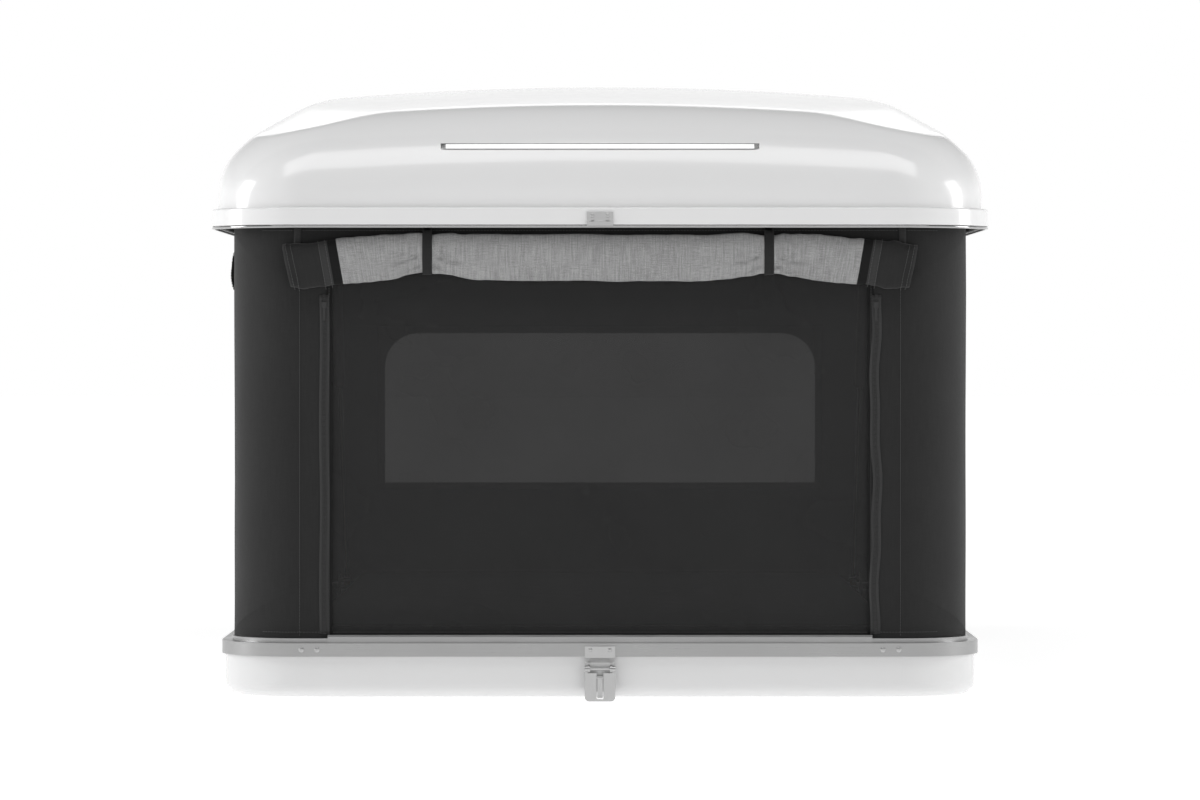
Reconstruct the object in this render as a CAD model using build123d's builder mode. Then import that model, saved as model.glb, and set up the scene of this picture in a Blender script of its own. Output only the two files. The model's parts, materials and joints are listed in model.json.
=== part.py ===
from build123d import *
import math
import os

os.makedirs("parts", exist_ok=True)

# Pop-up roof tent with a hard lid, standing open. Millimetres, +Z up.
# The origin is the middle of the mounting rails' underside; the entrance faces -Y.

# plan size: every ring is a rounded rectangle at a stated inset from the lid's skirt
SKIRT_HALF_X = 650.0
SKIRT_HALF_Y = 1068.0
SKIRT_RADIUS = 150.0

# insets from the skirt's outer face
SKIRT_WALL = 5.0
BAND_INSET = 17.0
TRAY_INSET = 23.0
SEAL_INSET = 17.5
KEDER_INSET = 34.0
CANVAS_INSET = 37.5

# heights
RAIL_HEIGHT = 24.0
TRAY_TOP = 109.7
BAND_BOTTOM = 92.0
BAND_TOP = 114.0
SILL_TOP = 127.0
LID_BOTTOM = 799.0
BEAD_TOP = 804.0
SKIRT_TOP = 833.0
LID_TRAVEL = 685.0

# walls and gaps
SHELL = 5.0
GAP = 0.3
TRAY_FLOOR = 5.0
TRAY_FILLET = 22.0
FLOOR_PANEL_INSET = 46.0
FLOOR_PANEL_TOP = 47.0
CLOTH = 3.0
MESH = 1.0

# mounting rails
RAIL_X = 400.0
RAIL_HALF_LENGTH = 625.0
RAIL_WIDTH = 60.0
RAIL_FLANGE = 15.0
RAIL_WALL = 3.0
CROSSBAR_HALF_SPACING = 450.0
MOUNT_HOLE_RADIUS = 4.5

# canvas body
CANVAS_BOTTOM = 121.3
CANVAS_TOP = 807.7
DOOR_HALF_WIDTH = 448.0
DOOR_TOP = 760.0
SIDE_DOOR_HALF = 600.0
SIDE_DOOR_BOTTOM = 160.0
WINDOW_BOTTOM = 321.0
WINDOW_TOP = 640.0
WINDOW_RADIUS = 74.0
ROLL_HEIGHT = 96.0
ROLL_HALF_LENGTH = 517.0
ROLL_DEPTH = 26.0
ROLL_Z = 739.0
STRAP_X = 282.0
STRAP_WIDTH = 16.0

# mattress
MATTRESS_HALF_X = 490.0
MATTRESS_HALF_Y = 995.0
MATTRESS_TOP = 146.0

# gas struts: eye centres on the lid and on the base with the lid up
STRUT_X = 515.0
LID_EYE_Y = 330.0
LID_EYE_Z = 950.0
BASE_EYE_Y = 930.0
BASE_EYE_Z = 132.0
EYE_RADIUS = 12.0
EYE_THICKNESS = 14.0
STUD_RADIUS = 4.0
RUNNING = 0.05
BARREL_RADIUS = 11.0
BARREL_START = 14.0
BARREL_END = 520.0
ROD_RADIUS = 5.0
ROD_START = 480.0
BORE_START = 75.0
BRACKET_X = 529.0
BRACKET_PLATE = 4.0
LINER_BOTTOM = 978.0
LINER_TOP = 986.0

# draw latch, one at each end
LATCH_WIDTH = 50.0
LEVER_PIN_Z = 72.0
LEVER_PIN_INSET = 3.0
LEVER_PIN_RADIUS = 2.5
HOOK_PIN_Z = 58.0
HOOK_PIN_RADIUS = 1.5
HOOK_WIDTH = 9.0
HOOK_REACH = 33.5
EAR_RADIUS = 6.0
LEVER_PLATE = 4.0
LEVER_FACE_INSET = 1.0
LEVER_BOTTOM = 19.0

# lid dome: height, half width, half length and corner radius of each level
DOME = [
    (833.0, 638.0, 1056.0, 150.0),
    (861.0, 640.0, 1055.0, 150.0),
    (884.0, 636.0, 1052.0, 150.0),
    (914.0, 628.0, 1047.0, 150.0),
    (939.0, 615.0, 1041.0, 150.0),
    (959.0, 589.0, 1031.0, 150.0),
    (985.0, 560.0, 1008.0, 150.0),
    (1008.0, 533.0, 935.0, 170.0),
    (1030.0, 510.0, 775.0, 190.0),
    (1050.0, 480.0, 581.0, 200.0),
    (1065.0, 370.0, 388.0, 190.0),
    (1076.0, 106.0, 112.0, 80.0),
]

# which corners of an opening are rounded
TOP_ROW = -1
BOTTOM_ROW = 0

ENDS = {"front": -1, "rear": 1}
SIDES = {"left": -1, "right": 1}


def plan(inset, mode=Mode.ADD):
    """The rounded rectangle at this inset from the skirt's outer face."""
    half_x = SKIRT_HALF_X - inset
    half_y = SKIRT_HALF_Y - inset
    return RectangleRounded(2 * half_x, 2 * half_y, SKIRT_RADIUS - inset, mode=mode)


def ring(inset, width, bottom, top):
    """An upright ring that follows the plan, from inset inwards by width."""
    with BuildPart() as hoop:
        with BuildSketch(Plane.XY.offset(bottom)):
            plan(inset)
            plan(inset + width, Mode.SUBTRACT)
        extrude(amount=top - bottom)
    return hoop


def block(low, high):
    """A box between two corners, for use inside a part's own block."""
    middle = tuple((a + b) / 2 for a, b in zip(low, high))
    size = [b - a for a, b in zip(low, high)]
    with Locations(middle):
        return Box(*size)


def end_plane(end, inset, z=0.0, x=0.0):
    """A plane on the tent's front or rear, looking outwards, with its own Y upwards."""
    return Plane((x, end * (SKIRT_HALF_Y - inset), z), x_dir=(-end, 0, 0), z_dir=(0, end, 0))


def dome_levels(outset):
    """The dome's levels moved outwards by outset, or inwards where it is negative."""
    drop = 0.8 * outset
    return [(z + drop, x + outset, y + outset, r + outset) for z, x, y, r in DOME]


# ---- base ----


def base_tray():
    with BuildPart() as tray:
        with BuildSketch(Plane.XY.offset(RAIL_HEIGHT)):
            plan(TRAY_INSET)
        extrude(amount=TRAY_TOP - RAIL_HEIGHT)
        fillet(tray.faces().sort_by(Axis.Z)[0].edges(), TRAY_FILLET)
        offset(amount=-TRAY_FLOOR, openings=tray.faces().sort_by(Axis.Z)[-1])
    tray.part.label = "base_tray"
    export_step(tray.part, "parts/base_tray.step")


def floor_panel():
    with BuildPart() as panel:
        with BuildSketch(Plane.XY.offset(RAIL_HEIGHT + TRAY_FLOOR + GAP)):
            plan(FLOOR_PANEL_INSET)
        extrude(amount=FLOOR_PANEL_TOP - RAIL_HEIGHT - TRAY_FLOOR - GAP)
    panel.part.label = "floor_panel"
    export_step(panel.part, "parts/floor_panel.step")


def rim_band():
    with BuildPart() as band:
        with BuildSketch(Plane.XY.offset(BAND_BOTTOM)):
            plan(BAND_INSET)
            plan(BAND_INSET + 3, Mode.SUBTRACT)
        extrude(amount=BAND_TOP - BAND_BOTTOM)
        with BuildSketch(Plane.XY.offset(TRAY_TOP + GAP)):
            plan(BAND_INSET)
            plan(BAND_INSET + 43, Mode.SUBTRACT)
        extrude(amount=BAND_TOP - TRAY_TOP - GAP)
    band.part.label = "rim_band"
    export_step(band.part, "parts/rim_band.step")


def rim_band_screws():
    """Button-head screws in pairs through the band's face, with a hexagon socket each."""
    head_radius = 4.5
    height = (BAND_BOTTOM + TRAY_TOP) / 2 + 2
    pair = 13.0
    planes = []
    for end in ENDS.values():
        for x in (-480.0, 480.0):
            planes += [end_plane(end, BAND_INSET, height, x + step) for step in (-pair, pair)]
    for side in SIDES.values():
        for y in (-720.0, -240.0, 240.0, 720.0):
            for step in (-pair, pair):
                origin = (side * (SKIRT_HALF_X - BAND_INSET), y + step, height)
                planes.append(Plane(origin, x_dir=(0, 1, 0), z_dir=(side, 0, 0)))
    with BuildPart() as screws:
        with BuildSketch(*planes):
            Circle(head_radius)
        extrude(amount=2.6)
        with BuildSketch(*[at.offset(1.2) for at in planes]):
            RegularPolygon(2.2, 6)
        extrude(amount=2, mode=Mode.SUBTRACT)
    screws.part.label = "rim_band_screws"
    export_step(screws.part, "parts/rim_band_screws.step")


def keder_rails():
    """Aluminium channels that grip the canvas, one on the rim and one under the lid frame."""
    levels = {"keder_rail_lower": (BAND_TOP, CANVAS_BOTTOM - GAP), "keder_rail_upper": (808.0, 815.7)}
    for name, (bottom, top) in levels.items():
        rail = ring(KEDER_INSET, 10, bottom, top)
        rail.part.label = name
        export_step(rail.part, f"parts/{name}.step")


def sill_rail():
    """The raised threshold under the entrance, with a lip along its top."""
    half_length = 450.0
    back = -(SKIRT_HALF_Y - KEDER_INSET + GAP)
    with BuildPart() as sill:
        with BuildSketch(Plane.YZ.offset(-half_length)):
            with BuildLine():
                Polyline(
                    (back, BAND_TOP),
                    (back - 8.0, BAND_TOP),
                    (back - 8.0, SILL_TOP - 3),
                    (back - 6.5, SILL_TOP),
                    (back, SILL_TOP),
                    close=True,
                )
            make_face()
        extrude(amount=2 * half_length)
    sill.part.label = "sill_rail"
    export_step(sill.part, "parts/sill_rail.step")


def mount_rails():
    """Hat-section rails under the tray, each with two holes for the crossbar clamps."""
    for name, side in SIDES.items():
        x = side * RAIL_X
        with BuildPart() as rail:
            with BuildSketch(Plane.XZ.offset(-RAIL_HALF_LENGTH)):
                with Locations((x, RAIL_HEIGHT / 2)):
                    Rectangle(RAIL_WIDTH, RAIL_HEIGHT)
                with Locations((x, RAIL_HEIGHT - RAIL_WALL / 2)):
                    Rectangle(RAIL_WIDTH + 2 * RAIL_FLANGE, RAIL_WALL)
                with Locations((x, RAIL_HEIGHT / 2)):
                    Rectangle(RAIL_WIDTH - 2 * RAIL_WALL, RAIL_HEIGHT - 2 * RAIL_WALL, mode=Mode.SUBTRACT)
            extrude(amount=2 * RAIL_HALF_LENGTH)
            with Locations(*[(x, y, RAIL_WALL) for y in (-CROSSBAR_HALF_SPACING, CROSSBAR_HALF_SPACING)]):
                Hole(MOUNT_HOLE_RADIUS, depth=RAIL_WALL)
        rail.part.label = f"mount_rail_{name}"
        export_step(rail.part, f"parts/mount_rail_{name}.step")


def mount_rail_bolts():
    """Hexagon heads under the rails' flanges."""
    reach = (RAIL_WIDTH + RAIL_FLANGE) / 2
    spots = [
        (side * RAIL_X + edge * reach, y)
        for side in SIDES.values()
        for edge in (-1, 1)
        for y in (-560.0, -280.0, 0.0, 280.0, 560.0)
    ]
    with BuildPart() as bolts:
        with BuildSketch(Plane.XY.offset(RAIL_HEIGHT - RAIL_WALL)):
            with Locations(*spots):
                RegularPolygon(5.5, 6)
        extrude(amount=-4)
    bolts.part.label = "mount_rail_bolts"
    export_step(bolts.part, "parts/mount_rail_bolts.step")


def mattress():
    with BuildPart() as pad:
        with BuildSketch(Plane.XY.offset(FLOOR_PANEL_TOP + GAP)):
            RectangleRounded(2 * MATTRESS_HALF_X, 2 * MATTRESS_HALF_Y, 60)
        extrude(amount=MATTRESS_TOP - FLOOR_PANEL_TOP - GAP)
        fillet(pad.faces().sort_by(Axis.Z)[-1].edges(), 22)
    pad.part.label = "mattress"
    export_step(pad.part, "parts/mattress.step")


# ---- canvas body: plain closed solids of the true outer shape ----


def canvas_wall(name, low, high, opening=None):
    """One wall of the canvas: the part of its ring between two plan corners."""
    with BuildPart() as wall:
        with BuildSketch(Plane.XY.offset(CANVAS_BOTTOM)):
            plan(CANVAS_INSET)
            plan(CANVAS_INSET + CLOTH, Mode.SUBTRACT)
            with Locations(((low[0] + high[0]) / 2, (low[1] + high[1]) / 2)):
                Rectangle(high[0] - low[0], high[1] - low[1], mode=Mode.INTERSECT)
        extrude(amount=CANVAS_TOP - CANVAS_BOTTOM)
        if opening:
            plane, width, bottom, top, radius, rounded_row = opening
            with BuildSketch(plane):
                with Locations((0, (bottom + top) / 2)):
                    Rectangle(width, top - bottom)
                fillet(vertices().group_by(Axis.Y)[rounded_row], radius)
            extrude(amount=20, both=True, mode=Mode.SUBTRACT)
    wall.part.label = name
    export_step(wall.part, f"parts/{name}.step")


def canvas_walls():
    reach_x = SKIRT_HALF_X
    reach_y = SKIRT_HALF_Y
    corner_y = reach_y - SKIRT_RADIUS
    front = end_plane(-1, CANVAS_INSET)
    rear = end_plane(1, CANVAS_INSET)
    left = Plane((-(SKIRT_HALF_X - CANVAS_INSET), 0, 0), x_dir=(0, -1, 0), z_dir=(-1, 0, 0))
    door = (front, 2 * DOOR_HALF_WIDTH, SILL_TOP, DOOR_TOP, 5, TOP_ROW)
    window = (rear, 2 * DOOR_HALF_WIDTH, WINDOW_BOTTOM, WINDOW_TOP, WINDOW_RADIUS, TOP_ROW)
    side_door = (left, 2 * SIDE_DOOR_HALF, SIDE_DOOR_BOTTOM, DOOR_TOP, 60, BOTTOM_ROW)
    canvas_wall("canvas_front", (-reach_x, -reach_y), (reach_x, -corner_y), door)
    canvas_wall("canvas_rear", (-reach_x, corner_y), (reach_x, reach_y), window)
    canvas_wall("canvas_left", (-reach_x, -corner_y), (0, corner_y), side_door)
    canvas_wall("canvas_right", (0, -corner_y), (reach_x, corner_y))


def mesh_panels():
    """Insect mesh behind the entrance, the left door and the rear window."""
    end_inside = SKIRT_HALF_Y - CANVAS_INSET - CLOTH - GAP
    side_inside = SKIRT_HALF_X - CANVAS_INSET - CLOTH - GAP
    lap = 8.0
    door_half = DOOR_HALF_WIDTH + lap
    side_half = SIDE_DOOR_HALF + lap
    corners = {
        "mesh_door_front": (
            (-door_half, -end_inside, SILL_TOP - 3),
            (door_half, -end_inside + MESH, DOOR_TOP + lap),
        ),
        "mesh_door_left": (
            (-side_inside, -side_half, SIDE_DOOR_BOTTOM - lap),
            (-side_inside + MESH, side_half, DOOR_TOP + lap),
        ),
        "mesh_window_rear": (
            (-door_half, end_inside - MESH, WINDOW_BOTTOM - lap),
            (door_half, end_inside, WINDOW_TOP + lap),
        ),
    }
    for name, (low, high) in corners.items():
        with BuildPart() as mesh:
            block(low, high)
        mesh.part.label = name
        export_step(mesh.part, f"parts/{name}.step")


def flap_rolls():
    """The three flaps, rolled up and tied above their openings."""
    front = SKIRT_HALF_Y - CANVAS_INSET + 1 + ROLL_DEPTH / 2
    side = SKIRT_HALF_X - CANVAS_INSET + 1 + ROLL_DEPTH / 2
    small = 60.0
    with BuildPart() as roll:
        with BuildSketch(Plane.YZ.offset(-ROLL_HALF_LENGTH)):
            with Locations((-front, ROLL_Z)):
                Ellipse(ROLL_DEPTH / 2, ROLL_HEIGHT / 2)
        extrude(amount=2 * ROLL_HALF_LENGTH)
    roll.part.label = "door_roll_front"
    export_step(roll.part, "parts/door_roll_front.step")
    with BuildPart() as roll:
        with BuildSketch(Plane.XZ.offset(-640)):
            with Locations((-side, ROLL_Z)):
                Ellipse(ROLL_DEPTH / 2, ROLL_HEIGHT / 2)
        extrude(amount=1280)
    roll.part.label = "door_roll_left"
    export_step(roll.part, "parts/door_roll_left.step")
    with BuildPart() as roll:
        with BuildSketch(Plane.YZ.offset(-447)):
            with Locations((front, WINDOW_TOP + 15 + small / 2)):
                Ellipse(ROLL_DEPTH / 2, small / 2)
        extrude(amount=894)
    roll.part.label = "window_roll_rear"
    export_step(roll.part, "parts/window_roll_rear.step")


def tie_straps():
    """Webbing straps around each roll."""
    outside = CANVAS_INSET - 1.5 - ROLL_DEPTH
    end = SKIRT_HALF_Y - outside
    side = SKIRT_HALF_X - outside
    half = STRAP_WIDTH / 2
    tall = ROLL_HEIGHT / 2 + 3
    with BuildPart() as straps:
        for x in (-STRAP_X, STRAP_X):
            block((x - half, -end - 2, ROLL_Z - tall), (x + half, -end, ROLL_Z + tall))
    straps.part.label = "tie_straps_front"
    export_step(straps.part, "parts/tie_straps_front.step")
    with BuildPart() as straps:
        for y in (-420.0, 0.0, 420.0):
            block((-side - 2, y - half, ROLL_Z - tall), (-side, y + half, ROLL_Z + tall))
    straps.part.label = "tie_straps_left"
    export_step(straps.part, "parts/tie_straps_left.step")
    with BuildPart() as straps:
        for x in (-STRAP_X, STRAP_X):
            block((x - half, end, WINDOW_TOP + 12), (x + half, end + 2, WINDOW_TOP + 78))
    straps.part.label = "tie_straps_rear"
    export_step(straps.part, "parts/tie_straps_rear.step")


def door_flap_right():
    """The right-hand door's flap, zipped shut over the wall."""
    outside = SKIRT_HALF_X - CANVAS_INSET + GAP
    with BuildPart() as flap:
        with BuildSketch(Plane.YZ.offset(outside)):
            with Locations((0, (SIDE_DOOR_BOTTOM + DOOR_TOP) / 2)):
                RectangleRounded(2 * SIDE_DOOR_HALF, DOOR_TOP - SIDE_DOOR_BOTTOM, 60)
        extrude(amount=2)
    flap.part.label = "door_flap_right"
    export_step(flap.part, "parts/door_flap_right.step")


def zips():
    """Zip tapes down both sides of the entrance and round the two side doors."""
    end = SKIRT_HALF_Y - CANVAS_INSET + GAP
    side = SKIRT_HALF_X - CANVAS_INSET + GAP
    roll_bottom = ROLL_Z - ROLL_HEIGHT / 2
    with BuildPart() as tapes:
        for x in (-DOOR_HALF_WIDTH - 8, DOOR_HALF_WIDTH + 8):
            block((x - 7, -end - 1.5, SILL_TOP + 1), (x + 7, -end, roll_bottom - 2))
    tapes.part.label = "zips_front"
    export_step(tapes.part, "parts/zips_front.step")
    for name, start in (("left", -side - 1.5), ("right", side)):
        with BuildPart() as tapes:
            with BuildSketch(Plane.YZ.offset(start)):
                with Locations((0, (SIDE_DOOR_BOTTOM + DOOR_TOP) / 2)):
                    RectangleRounded(2 * SIDE_DOOR_HALF + 30, DOOR_TOP - SIDE_DOOR_BOTTOM + 30, 75)
                    RectangleRounded(
                        2 * SIDE_DOOR_HALF + 4, DOOR_TOP - SIDE_DOOR_BOTTOM + 4, 62, mode=Mode.SUBTRACT
                    )
                with Locations((0, roll_bottom - 10 + 100)):
                    Rectangle(4 * SIDE_DOOR_HALF, 200, mode=Mode.SUBTRACT)
            extrude(amount=1.5)
        tapes.part.label = f"zips_{name}"
        export_step(tapes.part, f"parts/zips_{name}.step")


def zip_pulls():
    """The sliders, parked at the top of each zip."""
    end = SKIRT_HALF_Y - CANVAS_INSET + 2
    side = SKIRT_HALF_X - CANVAS_INSET + 2
    z = ROLL_Z - ROLL_HEIGHT / 2 - 28
    y = SIDE_DOOR_HALF + 8.5
    with BuildPart() as pulls:
        for x in (-DOOR_HALF_WIDTH - 8, DOOR_HALF_WIDTH + 8):
            block((x - 5, -end - 4, z), (x + 5, -end, z + 18))
        for face in SIDES.values():
            for spot in (-y, y):
                low_x = min(face * side, face * (side + 4))
                block((low_x, spot - 5, z - 12), (low_x + 4, spot + 5, z + 6))
    pulls.part.label = "zip_pulls"
    export_step(pulls.part, "parts/zip_pulls.step")


# ---- lid ----


def make_dome(outset):
    """The dome as a solid, moved outwards by outset."""
    with BuildPart() as dome:
        for z, half_x, half_y, radius in dome_levels(outset):
            with BuildSketch(Plane.XY.offset(z)):
                RectangleRounded(2 * half_x, 2 * half_y, radius)
        loft(ruled=True)
    return dome.part


def lid_shell():
    """The moulded lid: an upright skirt, a narrow ledge and the crowned dome."""
    outer = make_dome(0)
    inner = make_dome(-SHELL)
    with BuildPart() as shell:
        with BuildSketch(Plane.XY.offset(BEAD_TOP)):
            plan(0)
        extrude(amount=SKIRT_TOP - BEAD_TOP)
        fillet(shell.faces().sort_by(Axis.Z)[-1].edges(), 3)
        add(outer)
        with BuildSketch(Plane.XY.offset(BEAD_TOP)):
            plan(SKIRT_WALL)
        extrude(amount=SKIRT_TOP - BEAD_TOP - 0.8 * SHELL, mode=Mode.SUBTRACT)
        add(inner, mode=Mode.SUBTRACT)
    shell.part.label = "lid_shell"
    export_step(shell.part, "parts/lid_shell.step")


def lid_edge_trim():
    """The round bead under the skirt."""
    with BuildPart() as trim:
        with BuildSketch(Plane.XY.offset(LID_BOTTOM)):
            plan(0)
            plan(SKIRT_WALL + 1, Mode.SUBTRACT)
        extrude(amount=BEAD_TOP - LID_BOTTOM)
        fillet(trim.faces().sort_by(Axis.Z)[0].outer_wire().edges(), 2)
    trim.part.label = "lid_edge_trim"
    export_step(trim.part, "parts/lid_edge_trim.step")


def lid_frame():
    """The flat aluminium ring inside the skirt, which carries the seal and the canvas rail."""
    frame = ring(SKIRT_WALL + GAP, 46.7, 816, 821)
    frame.part.label = "lid_frame"
    export_step(frame.part, "parts/lid_frame.step")


def lid_seal():
    """The rubber bulb that rests on the rim when the lid is down."""
    with BuildPart() as seal:
        with BuildSketch(Plane.XY.offset(LID_BOTTOM + 0.5)):
            plan(SEAL_INSET)
            plan(SEAL_INSET + 7.2, Mode.SUBTRACT)
        extrude(amount=815.7 - LID_BOTTOM - 0.5)
        fillet(seal.faces().sort_by(Axis.Z)[0].edges(), 3)
    seal.part.label = "lid_seal"
    export_step(seal.part, "parts/lid_seal.step")


def lid_liner():
    """The padded ceiling panel, cut to the inside of the dome."""
    inside = make_dome(-SHELL - GAP)
    with BuildPart() as liner:
        with BuildSketch(Plane.XY.offset(LINER_BOTTOM)):
            plan(0)
        extrude(amount=LINER_TOP - LINER_BOTTOM)
        add(inside, mode=Mode.INTERSECT)
    liner.part.label = "lid_liner"
    export_step(liner.part, "parts/lid_liner.step")


def lid_trim_strip():
    """A plain bright strip across the front of the dome."""
    under = make_dome(GAP)
    over = make_dome(GAP + 2)
    with BuildPart() as strip:
        with Locations((0, -SKIRT_HALF_Y, 935)):
            Box(528, 120, 12)
        add(over, mode=Mode.INTERSECT)
        add(under, mode=Mode.SUBTRACT)
    strip.part.label = "lid_trim_strip"
    export_step(strip.part, "parts/lid_trim_strip.step")


def lid_catches():
    """The keeper at each end of the lid: a screwed plate with a hooked lower lip."""
    half_width = 21.5
    for name, end in ENDS.items():
        face = end * SKIRT_HALF_Y
        with BuildPart() as catch:
            with BuildSketch(Plane.YZ.offset(-half_width)):
                with BuildLine():
                    Polyline(
                        (face, 825),
                        (face + end * 3, 825),
                        (face + end * 3, 812),
                        (face + end * 7, 809),
                        (face + end * 7, 802),
                        (face + end * 4, 802),
                        (face + end * 4, 806),
                        (face, 806),
                        close=True,
                    )
                make_face()
            extrude(amount=2 * half_width)
        catch.part.label = f"lid_catch_{name}"
        export_step(catch.part, f"parts/lid_catch_{name}.step")


def lid_catch_screws():
    planes = [end_plane(end, -3, 819, x) for end in ENDS.values() for x in (-12.6, 12.6)]
    with BuildPart() as screws:
        with BuildSketch(*planes):
            Circle(3.6)
        extrude(amount=2)
    screws.part.label = "lid_catch_screws"
    export_step(screws.part, "parts/lid_catch_screws.step")


# ---- gas struts ----


def strut_brackets():
    """Angle plates with a stud for each strut eye: four on the base and four on the lid."""
    bottom_stud = STRUT_X + EYE_THICKNESS / 2 + 1.2
    full_stud = STRUT_X - EYE_THICKNESS / 2
    kinds = {
        "strut_base_brackets": (BASE_EYE_Y, BASE_EYE_Z, FLOOR_PANEL_TOP, bottom_stud, 32),
        "strut_lid_brackets": (LID_EYE_Y, LID_EYE_Z, LINER_BOTTOM, full_stud, 24),
    }
    for name, (y, z, seat, stud_end, foot_width) in kinds.items():
        away = -1 if seat < z else 1
        with BuildPart() as brackets:
            for side in SIDES.values():
                inner = side * BRACKET_X
                outer = side * (BRACKET_X + BRACKET_PLATE)
                flange = side * (BRACKET_X + foot_width)
                for end in ENDS.values():
                    middle = end * y
                    z_far = z - away * 14
                    low = (min(inner, outer), middle - 22, min(seat, z_far))
                    high = (max(inner, outer), middle + 22, max(seat, z_far))
                    block(low, high)
                    foot = seat - away * 4
                    low = (min(inner, flange), middle - 22, min(seat, foot))
                    high = (max(inner, flange), middle + 22, max(seat, foot))
                    block(low, high)
                    with BuildSketch(Plane((inner, middle, z), z_dir=(side, 0, 0))):
                        Circle(STUD_RADIUS)
                    extrude(amount=stud_end - BRACKET_X)
        brackets.part.label = name
        export_step(brackets.part, f"parts/{name}.step")


def strut_frame(side, end):
    """The strut's own plane: at the lid's eye, its Z down the strut, its X across the tent."""
    run = (0, end * (BASE_EYE_Y - LID_EYE_Y), BASE_EYE_Z - LID_EYE_Z)
    return Plane((side * STRUT_X, end * LID_EYE_Y, LID_EYE_Z), x_dir=(1, 0, 0), z_dir=run)


def strut_barrel(side_name, side, end_name, end):
    start = strut_frame(side, end)
    across = Plane((side * STRUT_X, end * LID_EYE_Y, LID_EYE_Z), z_dir=(1, 0, 0))
    name = f"strut_barrel_{end_name}_{side_name}"
    with BuildPart() as barrel:
        with BuildSketch(start.offset(EYE_RADIUS - 4)):
            Circle(6)
        extrude(amount=BARREL_START - EYE_RADIUS + 5)
        with BuildSketch(start.offset(BARREL_START)):
            Circle(BARREL_RADIUS)
        extrude(amount=BARREL_END - BARREL_START)
        with BuildSketch(across):
            Circle(EYE_RADIUS)
        extrude(amount=EYE_THICKNESS / 2, both=True)
        with BuildSketch(across):
            Circle(STUD_RADIUS + RUNNING)
        extrude(amount=EYE_THICKNESS, both=True, mode=Mode.SUBTRACT)
        with BuildSketch(start.offset(BORE_START)):
            Circle(ROD_RADIUS + RUNNING)
        extrude(amount=BARREL_END - BORE_START, mode=Mode.SUBTRACT)
    barrel.part.label = name
    export_step(barrel.part, f"parts/{name}.step")


def strut_rod(side_name, side, end_name, end):
    start = strut_frame(side, end)
    length = math.hypot(BASE_EYE_Y - LID_EYE_Y, LID_EYE_Z - BASE_EYE_Z)
    across = Plane((side * STRUT_X, end * BASE_EYE_Y, BASE_EYE_Z), z_dir=(1, 0, 0))
    name = f"strut_rod_{end_name}_{side_name}"
    with BuildPart() as rod:
        with BuildSketch(start.offset(ROD_START)):
            Circle(ROD_RADIUS)
        extrude(amount=length - EYE_RADIUS + 2 - ROD_START)
        with BuildSketch(across):
            Circle(EYE_RADIUS)
        extrude(amount=EYE_THICKNESS / 2, both=True)
        with BuildSketch(across):
            Circle(STUD_RADIUS + RUNNING)
        extrude(amount=EYE_THICKNESS, both=True, mode=Mode.SUBTRACT)
    rod.part.label = name
    export_step(rod.part, f"parts/{name}.step")


# ---- draw latches ----


def latch_bracket(name, end):
    """The fixed plate: it laps the rim band, steps back to the tray and carries two ears."""
    band = end * (SKIRT_HALF_Y - BAND_INSET + GAP)
    tray = end * (SKIRT_HALF_Y - TRAY_INSET + GAP)
    pin = end * (SKIRT_HALF_Y - LEVER_PIN_INSET)
    half = LATCH_WIDTH / 2
    with BuildPart() as bracket:
        with BuildSketch(Plane.YZ.offset(-half)):
            with BuildLine():
                Polyline(
                    (band, 109),
                    (band + end * 3, 109),
                    (band + end * 3, 90),
                    (tray + end * 3, 82),
                    (tray + end * 3, 34),
                    (tray, 34),
                    (tray, 84),
                    (band, 92),
                    close=True,
                )
            make_face()
        extrude(amount=2 * half)
        for x in (-20.0, 16.5):
            with BuildSketch(Plane.YZ.offset(x)):
                with Locations(((tray + end * 2 + pin) / 2, LEVER_PIN_Z)):
                    Rectangle(abs(pin - tray) - 2, 2 * EAR_RADIUS)
                with Locations((pin, LEVER_PIN_Z)):
                    Circle(EAR_RADIUS)
            extrude(amount=3.5)
        with BuildSketch(Plane((-30, pin, LEVER_PIN_Z), z_dir=(1, 0, 0))):
            Circle(LEVER_PIN_RADIUS)
        extrude(amount=60, mode=Mode.SUBTRACT)
    bracket.part.label = f"latch_bracket_{name}"
    export_step(bracket.part, f"parts/latch_bracket_{name}.step")


def latch_pin(name, end):
    pin = end * (SKIRT_HALF_Y - LEVER_PIN_INSET)
    with BuildPart() as shaft:
        with BuildSketch(Plane((-25.5, pin, LEVER_PIN_Z), z_dir=(1, 0, 0))):
            Circle(LEVER_PIN_RADIUS)
        extrude(amount=51)
    shaft.part.label = f"latch_pin_{name}"
    export_step(shaft.part, f"parts/latch_pin_{name}.step")


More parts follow.
